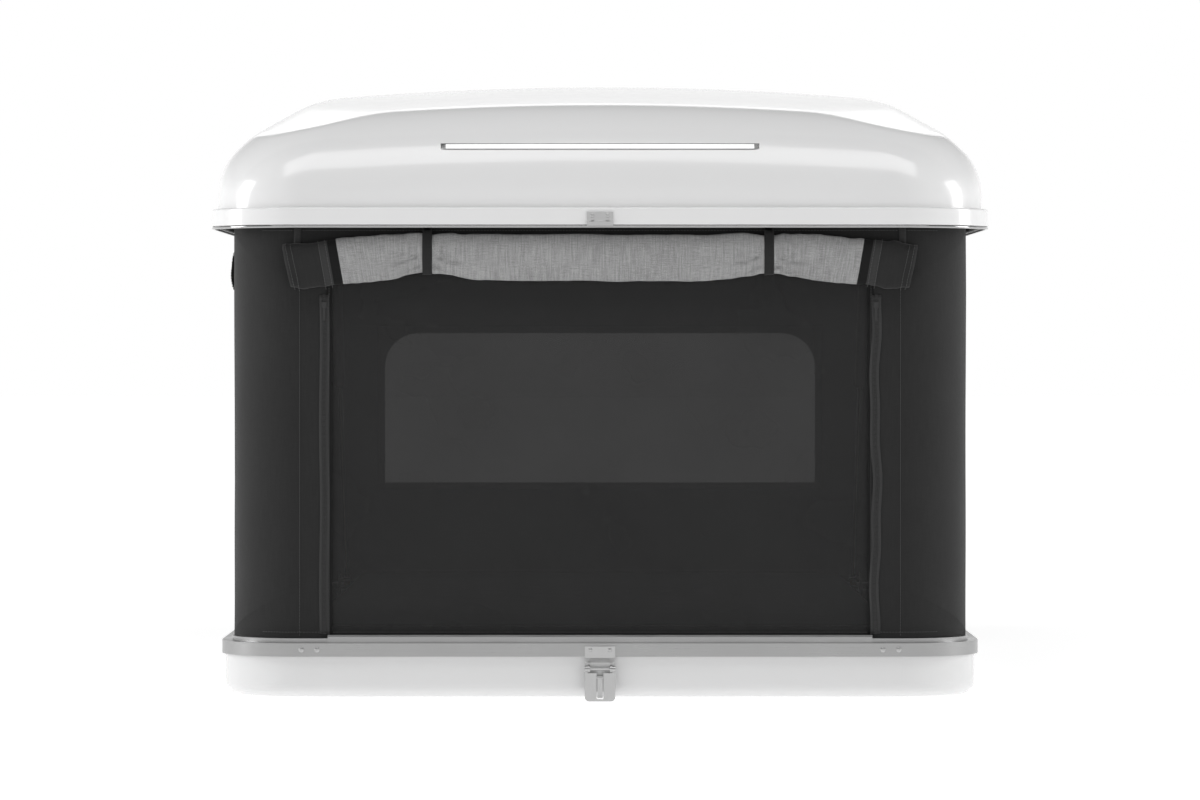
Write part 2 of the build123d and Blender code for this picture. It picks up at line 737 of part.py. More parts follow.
def latch_lever(name, end):
    """The lever: a plate hung on two knuckles, with a slot for the hook."""
    face = end * (SKIRT_HALF_Y - LEVER_FACE_INSET)
    pin = end * (SKIRT_HALF_Y - LEVER_PIN_INSET)
    half = LATCH_WIDTH / 2
    top = LEVER_PIN_Z - EAR_RADIUS - GAP
    with BuildPart() as lever:
        with BuildSketch(Plane((0, face - end * LEVER_PLATE, 0), x_dir=(-end, 0, 0), z_dir=(0, end, 0))):
            with Locations((0, (LEVER_BOTTOM + top) / 2)):
                RectangleRounded(2 * half, top - LEVER_BOTTOM, 7)
            with Locations((0, top - 7)):
                Rectangle(2 * half, 14)
            with Locations((0, 45.5)):
                RectangleRounded(HOOK_WIDTH + 2, 46, 2, mode=Mode.SUBTRACT)
        extrude(amount=LEVER_PLATE)
        for x in (-half, half - 4.7):
            with BuildSketch(Plane.YZ.offset(x)):
                with Locations((pin, LEVER_PIN_Z - 4)):
                    Rectangle(LEVER_PLATE, 8)
                with Locations((pin, LEVER_PIN_Z)):
                    Circle(5)
            extrude(amount=4.7)
        with BuildSketch(Plane((-30, pin, LEVER_PIN_Z), z_dir=(1, 0, 0))):
            Circle(LEVER_PIN_RADIUS + RUNNING)
        extrude(amount=60, mode=Mode.SUBTRACT)
        with BuildSketch(Plane((-9.5, pin, HOOK_PIN_Z), z_dir=(1, 0, 0))):
            Circle(HOOK_PIN_RADIUS + RUNNING)
        extrude(amount=19, mode=Mode.SUBTRACT)
    lever.part.label = f"latch_lever_{name}"
    export_step(lever.part, f"parts/latch_lever_{name}.step")


def latch_hook(name, end):
    """The hook: a narrow tongue on its own cross pin, ending in a turned-out nose."""
    pin = end * (SKIRT_HALF_Y - LEVER_PIN_INSET)
    half = HOOK_WIDTH / 2
    with BuildPart() as tongue:
        with BuildSketch(Plane.YZ.offset(-half)):
            with Locations((pin, HOOK_PIN_Z)):
                Circle(2.6)
            with Locations((pin, HOOK_PIN_Z - HOOK_REACH / 2)):
                Rectangle(2.5, HOOK_REACH)
            with Locations((pin + end * 1.4, HOOK_PIN_Z - HOOK_REACH + 1.25)):
                Rectangle(5.3, 2.5)
        extrude(amount=2 * half)
        with BuildSketch(Plane((-9, pin, HOOK_PIN_Z), z_dir=(1, 0, 0))):
            Circle(HOOK_PIN_RADIUS)
        extrude(amount=18)
    tongue.part.label = f"latch_hook_{name}"
    export_step(tongue.part, f"parts/latch_hook_{name}.step")


def latch_rivets():
    planes = [end_plane(end, BAND_INSET - 3 - GAP, 103, x) for end in ENDS.values() for x in (-16, 16)]
    with BuildPart() as rivets:
        with BuildSketch(*planes):
            Circle(3.5)
        extrude(amount=1.8)
    rivets.part.label = "latch_rivets"
    export_step(rivets.part, "parts/latch_rivets.step")


def main():
    base_tray()
    floor_panel()
    rim_band()
    rim_band_screws()
    keder_rails()
    sill_rail()
    mount_rails()
    mount_rail_bolts()
    mattress()
    canvas_walls()
    mesh_panels()
    flap_rolls()
    tie_straps()
    door_flap_right()
    zips()
    zip_pulls()
    lid_shell()
    lid_edge_trim()
    lid_frame()
    lid_seal()
    lid_liner()
    lid_trim_strip()
    lid_catches()
    lid_catch_screws()
    strut_brackets()
    for side_name, side in SIDES.items():
        for end_name, end in ENDS.items():
            strut_barrel(side_name, side, end_name, end)
            strut_rod(side_name, side, end_name, end)
    for name, end in ENDS.items():
        latch_bracket(name, end)
        latch_pin(name, end)
        latch_lever(name, end)
        latch_hook(name, end)
    latch_rivets()


main()
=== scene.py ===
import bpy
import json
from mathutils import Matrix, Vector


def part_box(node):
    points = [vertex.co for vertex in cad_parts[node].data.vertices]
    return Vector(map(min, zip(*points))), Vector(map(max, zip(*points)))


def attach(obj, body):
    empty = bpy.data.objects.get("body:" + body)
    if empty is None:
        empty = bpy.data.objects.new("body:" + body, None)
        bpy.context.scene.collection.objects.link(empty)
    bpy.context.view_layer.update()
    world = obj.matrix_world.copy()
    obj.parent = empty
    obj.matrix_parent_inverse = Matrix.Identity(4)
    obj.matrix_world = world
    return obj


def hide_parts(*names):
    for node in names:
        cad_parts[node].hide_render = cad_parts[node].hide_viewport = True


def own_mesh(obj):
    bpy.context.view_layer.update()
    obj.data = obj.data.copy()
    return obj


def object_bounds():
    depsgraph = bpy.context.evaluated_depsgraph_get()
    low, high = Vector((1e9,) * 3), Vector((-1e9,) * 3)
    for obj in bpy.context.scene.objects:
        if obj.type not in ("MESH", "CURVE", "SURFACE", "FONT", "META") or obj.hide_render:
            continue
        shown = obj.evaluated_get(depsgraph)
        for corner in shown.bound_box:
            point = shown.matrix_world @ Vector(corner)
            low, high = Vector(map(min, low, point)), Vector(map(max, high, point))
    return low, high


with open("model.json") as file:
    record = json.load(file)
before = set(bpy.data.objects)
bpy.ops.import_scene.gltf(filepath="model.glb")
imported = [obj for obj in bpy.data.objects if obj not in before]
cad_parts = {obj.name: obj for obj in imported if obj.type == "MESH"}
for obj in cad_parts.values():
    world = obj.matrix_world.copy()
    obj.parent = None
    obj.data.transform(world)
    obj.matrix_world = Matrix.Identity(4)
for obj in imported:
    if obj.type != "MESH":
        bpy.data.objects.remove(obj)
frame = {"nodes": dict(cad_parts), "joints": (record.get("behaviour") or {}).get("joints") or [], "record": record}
cad_box = [[float(x) for x in corner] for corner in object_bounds()]

import json
import math

import bmesh
import bpy
import numpy as np
from mathutils import Vector, noise

# A pop-up roof tent, standing open: the looks that go round its CAD frame. Metres, +Z up.
# Rings round the tent are told by their inset from the lid's skirt, as in the CAD model.

BOX = {name: [[float(v) for v in corner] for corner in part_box(name)] for name in frame["nodes"]}
SKIRT_HALF_X = BOX["lid_edge_trim"][1][0]
SKIRT_HALF_Y = BOX["lid_edge_trim"][1][1]
SKIRT_RADIUS = 0.150
SPINE = SKIRT_HALF_Y - SKIRT_HALF_X

LID_BOTTOM = BOX["lid_edge_trim"][0][2]
BEAD_TOP = BOX["lid_edge_trim"][1][2]
DOME_BASE = BEAD_TOP + 0.029
CANVAS_BOTTOM = BOX["canvas_front"][0][2]
CANVAS_TOP = BOX["canvas_front"][1][2]
SILL_TOP = BOX["sill_rail"][1][2]
CANVAS_INSET = SKIRT_HALF_X - BOX["canvas_right"][1][0]
LID_TRAVEL = -frame["joints"][0]["range_m"][0]
FOLDED_SHARE = (CANVAS_TOP - CANVAS_BOTTOM - LID_TRAVEL) / (CANVAS_TOP - CANVAS_BOTTOM)

DOOR_HALF = 0.448
DOOR_TOP = 0.760
SIDE_DOOR_HALF = 0.600
SIDE_DOOR_BOTTOM = 0.160
WINDOW_BOTTOM = 0.321
WINDOW_TOP = 0.640
WINDOW_RADIUS = 0.074


# ---- camera, light and floor ----

EYE_DISTANCE = 8.4
EYE_HEIGHT = 0.592
EYE_PITCH = math.radians(0.52)
LENS = 153.2


def set_camera():
    lens = bpy.data.cameras.new("camera")
    lens.lens = LENS
    lens.sensor_width = 36
    lens.clip_end = 100
    eye = bpy.data.objects.new("camera", lens)
    eye.location = (0, cad_box[0][1] - EYE_DISTANCE, EYE_HEIGHT)
    eye.rotation_euler = (math.pi / 2 - EYE_PITCH, 0, 0)
    bpy.context.scene.collection.objects.link(eye)
    bpy.context.scene.camera = eye


def soft_box(name, place, size, power):
    """A rectangular studio light that faces the middle of the tent."""
    panel = bpy.data.lights.new(name, "AREA")
    panel.shape = "RECTANGLE"
    panel.size, panel.size_y = size
    panel.energy = power
    lamp = bpy.data.objects.new(name, panel)
    lamp.location = place
    lamp.rotation_euler = (Vector((0, 0, 0.6)) - Vector(place)).to_track_quat("-Z", "Y").to_euler()
    bpy.context.scene.collection.objects.link(lamp)


def set_light():
    soft_box("key_box", (0, -2.2, 4.2), (4.6, 1.7), 72)
    soft_box("left_box", (-4.2, -0.9, 1.9), (1.3, 2.6), 80)
    soft_box("right_box", (4.2, -0.9, 1.9), (1.3, 2.6), 62)
    soft_box("rear_box", (0, 5.2, 3.4), (4.0, 1.6), 22)
    world = bpy.data.worlds.new("studio")
    world.use_nodes = True
    nodes, links = world.node_tree.nodes, world.node_tree.links
    paper = nodes["Background"]
    where = nodes.new("ShaderNodeTexCoord")
    height = nodes.new("ShaderNodeSeparateXYZ")
    fade = nodes.new("ShaderNodeMapRange")
    fade.interpolation_type = "SMOOTHSTEP"
    fade.inputs["From Min"].default_value = 0.12
    fade.inputs["From Max"].default_value = 0.5
    fade.inputs["To Min"].default_value = 1.0
    fade.inputs["To Max"].default_value = 0.16
    links.new(where.outputs["Generated"], height.inputs[0])
    links.new(height.outputs["Z"], fade.inputs["Value"])
    links.new(fade.outputs[0], paper.inputs["Strength"])
    paper.inputs["Color"].default_value = (1, 1, 1, 1)
    bpy.context.scene.world = world
    bpy.context.scene.view_settings.view_transform = "Standard"


# ---- shader maths ----


class Value:
    """A number on a shader socket. Arithmetic on it adds Math nodes to its tree."""

    def __init__(self, finish, socket):
        self.finish = finish
        self.socket = socket

    def maths(self, operation, *others):
        inputs = dict(enumerate((self, *others)))
        return self.finish.node("ShaderNodeMath", {"operation": operation}, inputs)

    def __add__(self, other):
        return self.maths("ADD", other)

    def __mul__(self, other):
        return self.maths("MULTIPLY", other)

    def __sub__(self, other):
        return self.maths("SUBTRACT", other)

    def __truediv__(self, other):
        return self.maths("DIVIDE", other)


    def __rsub__(self, other):
        return (self * -1) + other

    __radd__ = __add__
    __rmul__ = __mul__

    def sin(self):
        return self.maths("SINE")

    def abs(self):
        return self.maths("ABSOLUTE")

    def power(self, other):
        return self.maths("POWER", other)

    def clamped(self):
        return self.finish.node("ShaderNodeClamp", {}, {0: self, 1: 0.0, 2: 1.0})


class Finish:
    """A material being built: one Principled surface and the nodes that feed it."""

    def __init__(self, name, **constants):
        self.material = bpy.data.materials.new(name)
        self.material.use_nodes = True
        self.tree = self.material.node_tree
        self.tree.nodes.clear()
        out = self.tree.nodes.new("ShaderNodeOutputMaterial")
        self.surface = self.tree.nodes.new("ShaderNodeBsdfPrincipled")
        self.tree.links.new(self.surface.outputs[0], out.inputs["Surface"])
        for socket, value in constants.items():
            self.surface.inputs[socket.replace("_", " ")].default_value = value

    def node(self, kind, settings=None, inputs=None, output=0):
        made = self.tree.nodes.new(kind)
        for name, value in (settings or {}).items():
            setattr(made, name, value)
        for name, value in (inputs or {}).items():
            if isinstance(value, Value):
                self.tree.links.new(value.socket, made.inputs[name])
            else:
                made.inputs[name].default_value = value
        return Value(self, made.outputs[output])

    def place(self, uv=False):
        """Object coordinates, or the piece's own UV map in metres."""
        if uv:
            return self.node("ShaderNodeUVMap", {"uv_map": "cloth"})
        return self.node("ShaderNodeTexCoord", output="Object")

    def axes(self, vector):
        return [self.node("ShaderNodeSeparateXYZ", {}, {0: vector}, k) for k in range(3)]

    def stretched(self, vector, scale):
        return self.node("ShaderNodeVectorMath", {"operation": "MULTIPLY"}, {0: vector, 1: scale})

    def noise(self, vector, scale, detail=3.0, roughness=0.5):
        inputs = {"Vector": vector, "Scale": scale, "Detail": detail, "Roughness": roughness}
        return self.node("ShaderNodeTexNoise", {}, inputs)

    def ranged(self, value, low, high, to_low, to_high):
        inputs = {"Value": value, 1: low, 2: high, 3: to_low, 4: to_high}
        return self.node("ShaderNodeMapRange", {}, inputs)

    def mixed(self, factor, first, second):
        inputs = {0: factor, 6: first, 7: second}
        return self.node("ShaderNodeMix", {"data_type": "RGBA"}, inputs, 2)

    def bump(self, height, strength, distance):
        inputs = {"Height": height, "Strength": strength, "Distance": distance}
        return self.node("ShaderNodeBump", {}, inputs)

    def feed(self, **sockets):
        for name, value in sockets.items():
            self.tree.links.new(value.socket, self.surface.inputs[name.replace("_", " ")])
        return self.material


def grey(value, alpha=1.0):
    return (value, value, value, alpha)


# ---- finishes ----


def gloss_shell(name, tone):
    """Moulded white shell: gelcoat gloss with a faint ripple and a little handling dullness."""
    made = Finish(name, Coat_Weight=0.35, Coat_Roughness=0.06, IOR=1.48)
    where = made.place()
    ripple = made.noise(where, 9.0, 2.0)
    speck = made.noise(where, 260.0, 2.0)
    dull = made.noise(where, 3.0, 4.0, 0.6)
    tint = made.mixed(dull, (tone, tone, tone * 1.005, 1), grey(tone * 0.965))
    rough = made.ranged(dull, 0.3, 0.75, 0.16, 0.25)
    relief = ripple * 0.85 + speck * 0.15
    return made.feed(Base_Color=tint, Roughness=rough, Normal=made.bump(relief, 0.12, 0.0015))


def brushed(name, tone, along, grain=0.5):
    """Metal with fine brush lines. along stretches the lines: small numbers run with them."""
    made = Finish(name, Metallic=1.0)
    where = made.place()
    lines = made.noise(made.stretched(where, along), 1.0, 5.0, 0.65)
    stain = made.noise(where, 14.0, 4.0, 0.6)
    tint = made.mixed(lines, grey(tone * 0.86), grey(min(tone * 1.12, 1.0)))
    rough = made.ranged(lines, 0.25, 0.75, 0.24, 0.42) + made.ranged(stain, 0.3, 0.7, -0.03, 0.05)
    return made.feed(Base_Color=tint, Roughness=rough, Normal=made.bump(lines, grain * 0.3, 0.0002))


def polished(name, tone):
    made = Finish(name, Metallic=1.0)
    smear = made.noise(made.place(), 22.0, 4.0, 0.6)
    tint = made.mixed(smear, grey(tone), grey(tone * 0.93))
    return made.feed(
        Base_Color=tint,
        Roughness=made.ranged(smear, 0.35, 0.75, 0.06, 0.14),
        Normal=made.bump(smear, 0.03, 0.0005),
    )


def coated_steel(name, tone):
    """Black powder coat: fine orange peel, paler where it is rubbed."""
    made = Finish(name)
    where = made.place()
    peel = made.noise(where, 420.0, 2.0)
    rub = made.noise(where, 30.0, 5.0, 0.7)
    tint = made.mixed(made.ranged(rub, 0.45, 0.8, 0.0, 0.5), grey(tone), grey(tone * 2.2))
    rough = made.ranged(rub, 0.3, 0.8, 0.38, 0.56)
    return made.feed(Base_Color=tint, Roughness=rough, Normal=made.bump(peel, 0.25, 0.0003))


def soft_rubber(name, tone):
    made = Finish(name)
    where = made.place()
    bloom = made.noise(where, 18.0, 5.0, 0.65)
    grain = made.noise(where, 900.0, 2.0)
    tint = made.mixed(bloom, grey(tone), grey(tone * 1.7))
    rough = made.ranged(bloom, 0.3, 0.8, 0.55, 0.75)
    return made.feed(Base_Color=tint, Roughness=rough, Normal=made.bump(grain, 0.2, 0.0002))


def ply_board(name):
    made = Finish(name)
    where = made.place()
    grain = made.noise(made.stretched(where, (38.0, 2.2, 38.0)), 1.0, 6.0, 0.6)
    tint = made.mixed(grain, (0.30, 0.20, 0.11, 1), (0.50, 0.37, 0.22, 1))
    rough = made.ranged(grain, 0.3, 0.7, 0.45, 0.62)
    return made.feed(Base_Color=tint, Roughness=rough, Normal=made.bump(grain, 0.15, 0.0005))


def weave_height(across, up, pitch):
    """Plain weave: threads over and under on a square pitch."""
    turn = 2 * math.pi / pitch
    over = (across * turn).sin() * (up * turn).sin()
    return over * 0.5 + 0.5


def cloth(name, dark, light, pitch=0.0011, sheen=0.12, heather=0.5, relief=0.35, uv=True):
    """Woven cloth with threads of slightly different shades and a soft fuzz."""
    made = Finish(name, Sheen_Weight=sheen, Sheen_Roughness=0.5, Specular_IOR_Level=0.25)
    where = made.place(uv)
    across, up, depth = made.axes(where)
    if not uv:
        across = across + depth
    threads = weave_height(across, up, pitch)
    warp = made.noise(made.stretched(where, (420.0, 26.0, 420.0)), 1.0, 2.0)
    weft = made.noise(made.stretched(where, (60.0, 700.0, 60.0)), 1.0, 2.0)
    grain = made.noise(where, 900.0, 1.0)
    patch = made.noise(where, 7.0, 4.0, 0.6)
    mix = warp * 0.3 + weft * 0.25 + grain * 0.45
    shade = (mix - 0.5) * (2.6 * heather) + 0.35 + (patch - 0.5) * 0.3
    shade = (shade + threads * 0.25).clamped()
    tint = made.mixed(shade, grey(dark), grey(light))
    rough = made.ranged(patch, 0.3, 0.7, 0.82, 0.95)
    height = threads * 0.7 + warp * 0.3
    return made.feed(Base_Color=tint, Roughness=rough, Normal=made.bump(height, relief, pitch * 0.4))


def insect_mesh(name, tone, cover):
    """Fine black netting: square holes between round threads."""
    made = Finish(name, Specular_IOR_Level=0.2)
    where = made.place(True)
    across, up, _ = made.axes(where)
    turn = math.pi / 0.0016
    bars = (across * turn).sin().abs().power(6.0) + (up * turn).sin().abs().power(6.0)
    bars = bars.clamped()
    waft = made.noise(where, 5.0, 3.0)
    alpha = bars * 0.07 + cover + (waft - 0.5) * 0.05
    tint = made.mixed(bars, grey(tone), grey(tone * 1.5))
    rough = made.ranged(waft, 0.3, 0.7, 0.75, 0.9)
    return made.feed(
        Base_Color=tint,
        Roughness=rough,
        Alpha=alpha.clamped(),
        Normal=made.bump(bars, 0.2, 0.0003),
    )


def webbing(name, tone):
    """Ribbed woven tape: ribs across its width."""
    made = Finish(name, Sheen_Weight=0.1, Specular_IOR_Level=0.3)
    where = made.place(True)
    across, up, _ = made.axes(where)
    ribs = (up * (2 * math.pi / 0.0022)).sin() * 0.5 + 0.5
    cords = (across * (2 * math.pi / 0.004)).sin() * 0.5 + 0.5
    fuzz = made.noise(where, 700.0, 2.0)
    tint = made.mixed((ribs * 0.6 + fuzz * 0.4).clamped(), grey(tone * 0.6), grey(tone * 1.5))
    height = ribs * 0.6 + cords * 0.4
    rough = made.ranged(fuzz, 0.3, 0.7, 0.7, 0.9)
    return made.feed(Base_Color=tint, Roughness=rough, Normal=made.bump(height, 0.5, 0.0005))


def make_finishes():
    return {
        "lid_white": gloss_shell("lid_gelcoat", 0.75),
        "tray_white": gloss_shell("tray_gelcoat", 0.72),
        "bead_grey": polished("bead_bright", 0.42),
        "band_aluminium": brushed("rim_aluminium", 0.36, (6.0, 6.0, 2600.0)),
        "rail_aluminium": brushed("rail_aluminium", 0.58, (1800.0, 5.0, 1800.0)),
        "sill_grey": brushed("sill_aluminium", 0.33, (5.0, 1500.0, 1500.0)),
        "stainless": brushed("stainless_steel", 0.48, (2400.0, 2400.0, 30.0)),
        "bracket_steel": coated_steel("bracket_powder_coat", 0.035),
        "strut_black": coated_steel("strut_paint", 0.02),
        "rod_chrome": polished("rod_chrome", 0.62),
        "trim_chrome": polished("trim_chrome", 0.38),
        "seal_rubber": soft_rubber("seal_rubber", 0.016),
        "floor_board": ply_board("floor_plywood"),
        "liner_cloth": cloth("ceiling_cloth", 0.14, 0.24, 0.0022, uv=False),
        "mattress_cover": cloth("mattress_ticking", 0.06, 0.11, 0.0016, uv=False),
        "canvas": cloth("charcoal_canvas", 0.009, 0.029, 0.0013, heather=0.5),
        "binding": cloth("binding_tape", 0.003, 0.009, 0.0018, sheen=0.04, heather=0.3),
        "flap_grey": cloth("heather_flap", 0.13, 0.50, 0.0016, heather=0.95, relief=0.5),
        "insect_mesh": insect_mesh("insect_netting", 0.0195, 0.825),
        "webbing": webbing("tie_webbing", 0.012),
        "zip_tape": webbing("zip_tape", 0.030),
        "zip_metal": coated_steel("zip_slider_paint", 0.014),
        "thread": soft_rubber("sewing_thread", 0.06),
        "binding_cord": soft_rubber("piping_cord_cover", 0.02),
    }


# ---- mesh helpers ----


def piece(name, points, faces, finishes, uv=None, smooth=True, face_finish=None):
    """A mesh object at the origin. uv gives each point's place in metres on its cloth."""
    mesh = bpy.data.meshes.new(name)
    mesh.from_pydata([tuple(map(float, p)) for p in points], [], [tuple(map(int, f)) for f in faces])
    for finish in finishes:
        mesh.materials.append(FINISH[finish])
    if uv is not None:
        layer = mesh.uv_layers.new(name="cloth")
        corners = np.empty(len(mesh.loops), np.int32)
        mesh.loops.foreach_get("vertex_index", corners)
        layer.data.foreach_set("uv", np.asarray(uv, float)[corners].ravel())
    if face_finish is not None:
        mesh.polygons.foreach_set("material_index", np.asarray(face_finish, np.int32))
    mesh.polygons.foreach_set("use_smooth", [smooth] * len(mesh.polygons))
    mesh.update()
    made = bpy.data.objects.new(name, mesh)
    bpy.context.scene.collection.objects.link(made)
    return made


def grid_faces(rows, columns, closed=False):
    """Quads between rows x columns points, numbered row by row. closed joins each row's ends."""
    faces = []
    for r in range(rows - 1):
        for c in range(columns if closed else columns - 1):
            near, far, c2 = r * columns, (r + 1) * columns, (c + 1) % columns
            faces.append((near + c, near + c2, far + c2, far + c))
    return faces


def at_height(flat, height):
    return np.column_stack([flat, np.full(len(flat), height)])


def ringed(name, rows, finish, weld, smooth=True):
    """A closed body from rings of points, its faces turned outwards."""
    faces = grid_faces(len(rows), len(rows[0]), True)
    made = piece(name, np.concatenate(rows), faces, [finish], smooth=smooth)
    return settle(made, weld=weld, outwards=True)


def last_inside(outside, inner, outer, rounds=40):
    """Halves the step from a place that is inside to one that is outside."""
    for _ in range(rounds):
        middle = (inner + outer) / 2
        beyond = outside(middle)
        outer = np.where(beyond, middle, outer)
        inner = np.where(beyond, inner, middle)
    return inner


def quarter(centre, radius, start, steps):
    """Points on a quarter circle that begins at start degrees."""
    angles = [math.radians(start + 90 * k / steps) for k in range(steps + 1)]
    return [(centre[0] + radius * math.cos(a), centre[1] + radius * math.sin(a)) for a in angles]


def run_lengths(line):
    """How far along its line each point lies."""
    return np.concatenate([[0], np.cumsum(np.linalg.norm(np.diff(line, axis=0), axis=1))])


def settle(made, thickness=0.0, weld=0.0, outwards=False):
    """Welds, turns faces outwards and applies thickness, so that a plain mesh is left."""
    if weld or outwards:
        work = bmesh.new()
        work.from_mesh(made.data)
        if weld:
            bmesh.ops.remove_doubles(work, verts=work.verts, dist=weld)
        if outwards:
            bmesh.ops.recalc_face_normals(work, faces=work.faces)
        work.to_mesh(made.data)
        work.free()
    if thickness:
        wall = made.modifiers.new("thickness", "SOLIDIFY")
        wall.thickness = thickness
        wall.offset = -1.0
        apply_all(made)
    return made


def apply_all(made):
    done = bpy.data.meshes.new_from_object(made.evaluated_get(bpy.context.evaluated_depsgraph_get()))
    made.modifiers.clear()
    made.data = done
    return made


def joined(name, parts):
    """Joins pieces of one finish into one mesh, named for the whole."""
    work = bmesh.new()
    for part in parts:
        work.from_mesh(part.data)
    whole = parts[0]
    work.to_mesh(whole.data)
    work.free()
    for part in parts[1:]:
        bpy.data.objects.remove(part)
    whole.name = name
    return whole


# ---- Geometry Nodes ----


class Recipe:
    """A Geometry Nodes tree being built, with named inputs."""

    def __init__(self, name, **inputs):
        self.tree = bpy.data.node_groups.new(name, "GeometryNodeTree")
        face = self.tree.interface
        face.new_socket("Geometry", in_out="INPUT", socket_type="NodeSocketGeometry")
        self.names = {}
        for label, kind in inputs.items():
            made = face.new_socket(label, in_out="INPUT", socket_type=f"NodeSocket{kind}")
            self.names[label] = made.identifier
        face.new_socket("Geometry", in_out="OUTPUT", socket_type="NodeSocketGeometry")
        self.entry = self.tree.nodes.new("NodeGroupInput").outputs
        self.exit = self.tree.nodes.new("NodeGroupOutput").inputs

    def node(self, kind, settings=None, inputs=None, output=0):
        made = self.tree.nodes.new(kind)
        for name, value in (settings or {}).items():
            setattr(made, name, value)
        for name, value in (inputs or {}).items():
            if isinstance(value, bpy.types.NodeSocket):
                self.tree.links.new(value, made.inputs[name])
            else:
                made.inputs[name].default_value = value
        return made.outputs[output]

    def close(self, geometry, finish):
        whole = self.node("GeometryNodeRealizeInstances", {}, {0: geometry})
        inputs = {"Geometry": whole, "Material": FINISH[finish]}
        self.tree.links.new(self.node("GeometryNodeSetMaterial", {}, inputs), self.exit[0])

    def grow(self, name, points, edges, facing=None, **values):
        """Runs the tree on points and edges, and leaves a plain mesh."""
        mesh = bpy.data.meshes.new(name)
        mesh.from_pydata([tuple(map(float, p)) for p in points], edges, [])
        if facing is not None:
            layer = mesh.attributes.new("facing", "FLOAT_VECTOR", "POINT")
            layer.data.foreach_set("vector", np.asarray(facing, np.float32).ravel())
        made = bpy.data.objects.new(name, mesh)
        bpy.context.scene.collection.objects.link(made)
        step = made.modifiers.new("recipe", "NODES")
        step.node_group = self.tree
        for label, value in values.items():
            step[self.names[label]] = value
        return apply_all(made)


def row_recipe(name, finish):
    """Small blocks set along a line: stitches, or the teeth of a zip."""
    made = Recipe(name, Spacing="Float", Size="Vector", Out="Vector")
    line = made.node("GeometryNodeMeshToCurve", {}, {0: made.entry["Geometry"]})
    even = {"Curve": line, "Length": made.entry["Spacing"]}
    line = made.node("GeometryNodeResampleCurve", {"mode": "LENGTH"}, even)
    along = made.node("GeometryNodeInputTangent")
    turned = made.node("FunctionNodeAlignRotationToVector", {"axis": "X"}, {"Vector": along})
    inputs = {"Rotation": turned, "Vector": made.entry["Out"]}
    turned = made.node("FunctionNodeAlignRotationToVector", {"axis": "Y", "pivot_axis": "X"}, inputs)
    block = made.node("GeometryNodeMeshCube", {}, {"Size": made.entry["Size"]})
    inputs = {"Points": line, "Instance": block, "Rotation": turned}
    made.close(made.node("GeometryNodeInstanceOnPoints", {}, inputs), finish)
    return made


def sweep_recipe(name, finish):
    """A round cord swept along a closed line."""
    made = Recipe(name, Radius="Float")
    line = made.node("GeometryNodeMeshToCurve", {}, {0: made.entry["Geometry"]})
    inputs = {"Resolution": 12, "Radius": made.entry["Radius"]}
    section = made.node("GeometryNodeCurvePrimitiveCircle", {"mode": "RADIUS"}, inputs)
    swept = made.node("GeometryNodeCurveToMesh", {}, {"Curve": line, "Profile Curve": section})
    smooth = made.node("GeometryNodeSetShadeSmooth", {}, {"Geometry": swept})
    made.close(smooth, finish)
    return made


def head_recipe(name, finish, socket):
    """Fastener heads turned to face outwards: low domes, with a hexagon socket if asked."""
    made = Recipe(name, Radius="Float", Height="Float")
    ball = made.node("GeometryNodeMeshUVSphere", {}, {"Segments": 24, "Rings": 12, "Radius": 1.0})
    if socket:
        hole = {"Vertices": 6, "Radius": 0.42, "Depth": 1.0}
        hole = made.node("GeometryNodeMeshCylinder", {}, hole)
        hole = made.node("GeometryNodeTransform", {}, {"Geometry": hole, "Translation": (0, 0, 0.95)})
        cut = {"operation": "DIFFERENCE", "solver": "EXACT"}
        ball = made.node("GeometryNodeMeshBoolean", cut, {"Mesh 1": ball, "Mesh 2": hole})
    size = made.node("ShaderNodeCombineXYZ", {}, {
        "X": made.entry["Radius"],
        "Y": made.entry["Radius"],
        "Z": made.entry["Height"],
    })
    settings = {"data_type": "FLOAT_VECTOR"}
    facing = made.node("GeometryNodeInputNamedAttribute", settings, {"Name": "facing"})
    turned = made.node("FunctionNodeAlignRotationToVector", {"axis": "Z"}, {"Vector": facing})
    inputs = {"Points": made.entry["Geometry"], "Instance": ball, "Rotation": turned, "Scale": size}
    made.close(made.node("GeometryNodeInstanceOnPoints", {}, inputs), finish)
    return made


def chain(count, closed=False):
    edges = [(k, k + 1) for k in range(count - 1)]
    return edges + [(count - 1, 0)] if closed else edges


# ---- the plan: a rounded rectangle walked by length ----


def plan_path(inset, straight=0.03, corner_steps=18):
    """Points and outward normals round the plan, anticlockwise from the rear of the right side."""
    half_x, half_y = SKIRT_HALF_X - inset, SKIRT_HALF_Y - inset
    radius = SKIRT_RADIUS - inset
    flat_x, flat_y = half_x - radius, half_y - radius
    signs = ((1, 1, 0), (-1, 1, 90), (-1, -1, 180), (1, -1, 270))
    corners = [(sx * flat_x, sy * flat_y, start) for sx, sy, start in signs]
    points, normals = [], []
    for k, (cx, cy, start) in enumerate(corners):
        for step in range(corner_steps + 1):
            angle = math.radians(start + 90 * step / corner_steps)
            normal = (math.cos(angle), math.sin(angle))
            points.append((cx + radius * normal[0], cy + radius * normal[1]))
            normals.append(normal)
        length = 2 * (flat_x if k % 2 == 0 else flat_y)
        steps = max(2, round(length / straight))
        nx, ny = normals[-1]
        x, y = points[-1]
        for step in range(1, steps):
            points.append((x - ny * length * step / steps, y + nx * length * step / steps))
            normals.append((nx, ny))
    return np.array(points), np.array(normals)


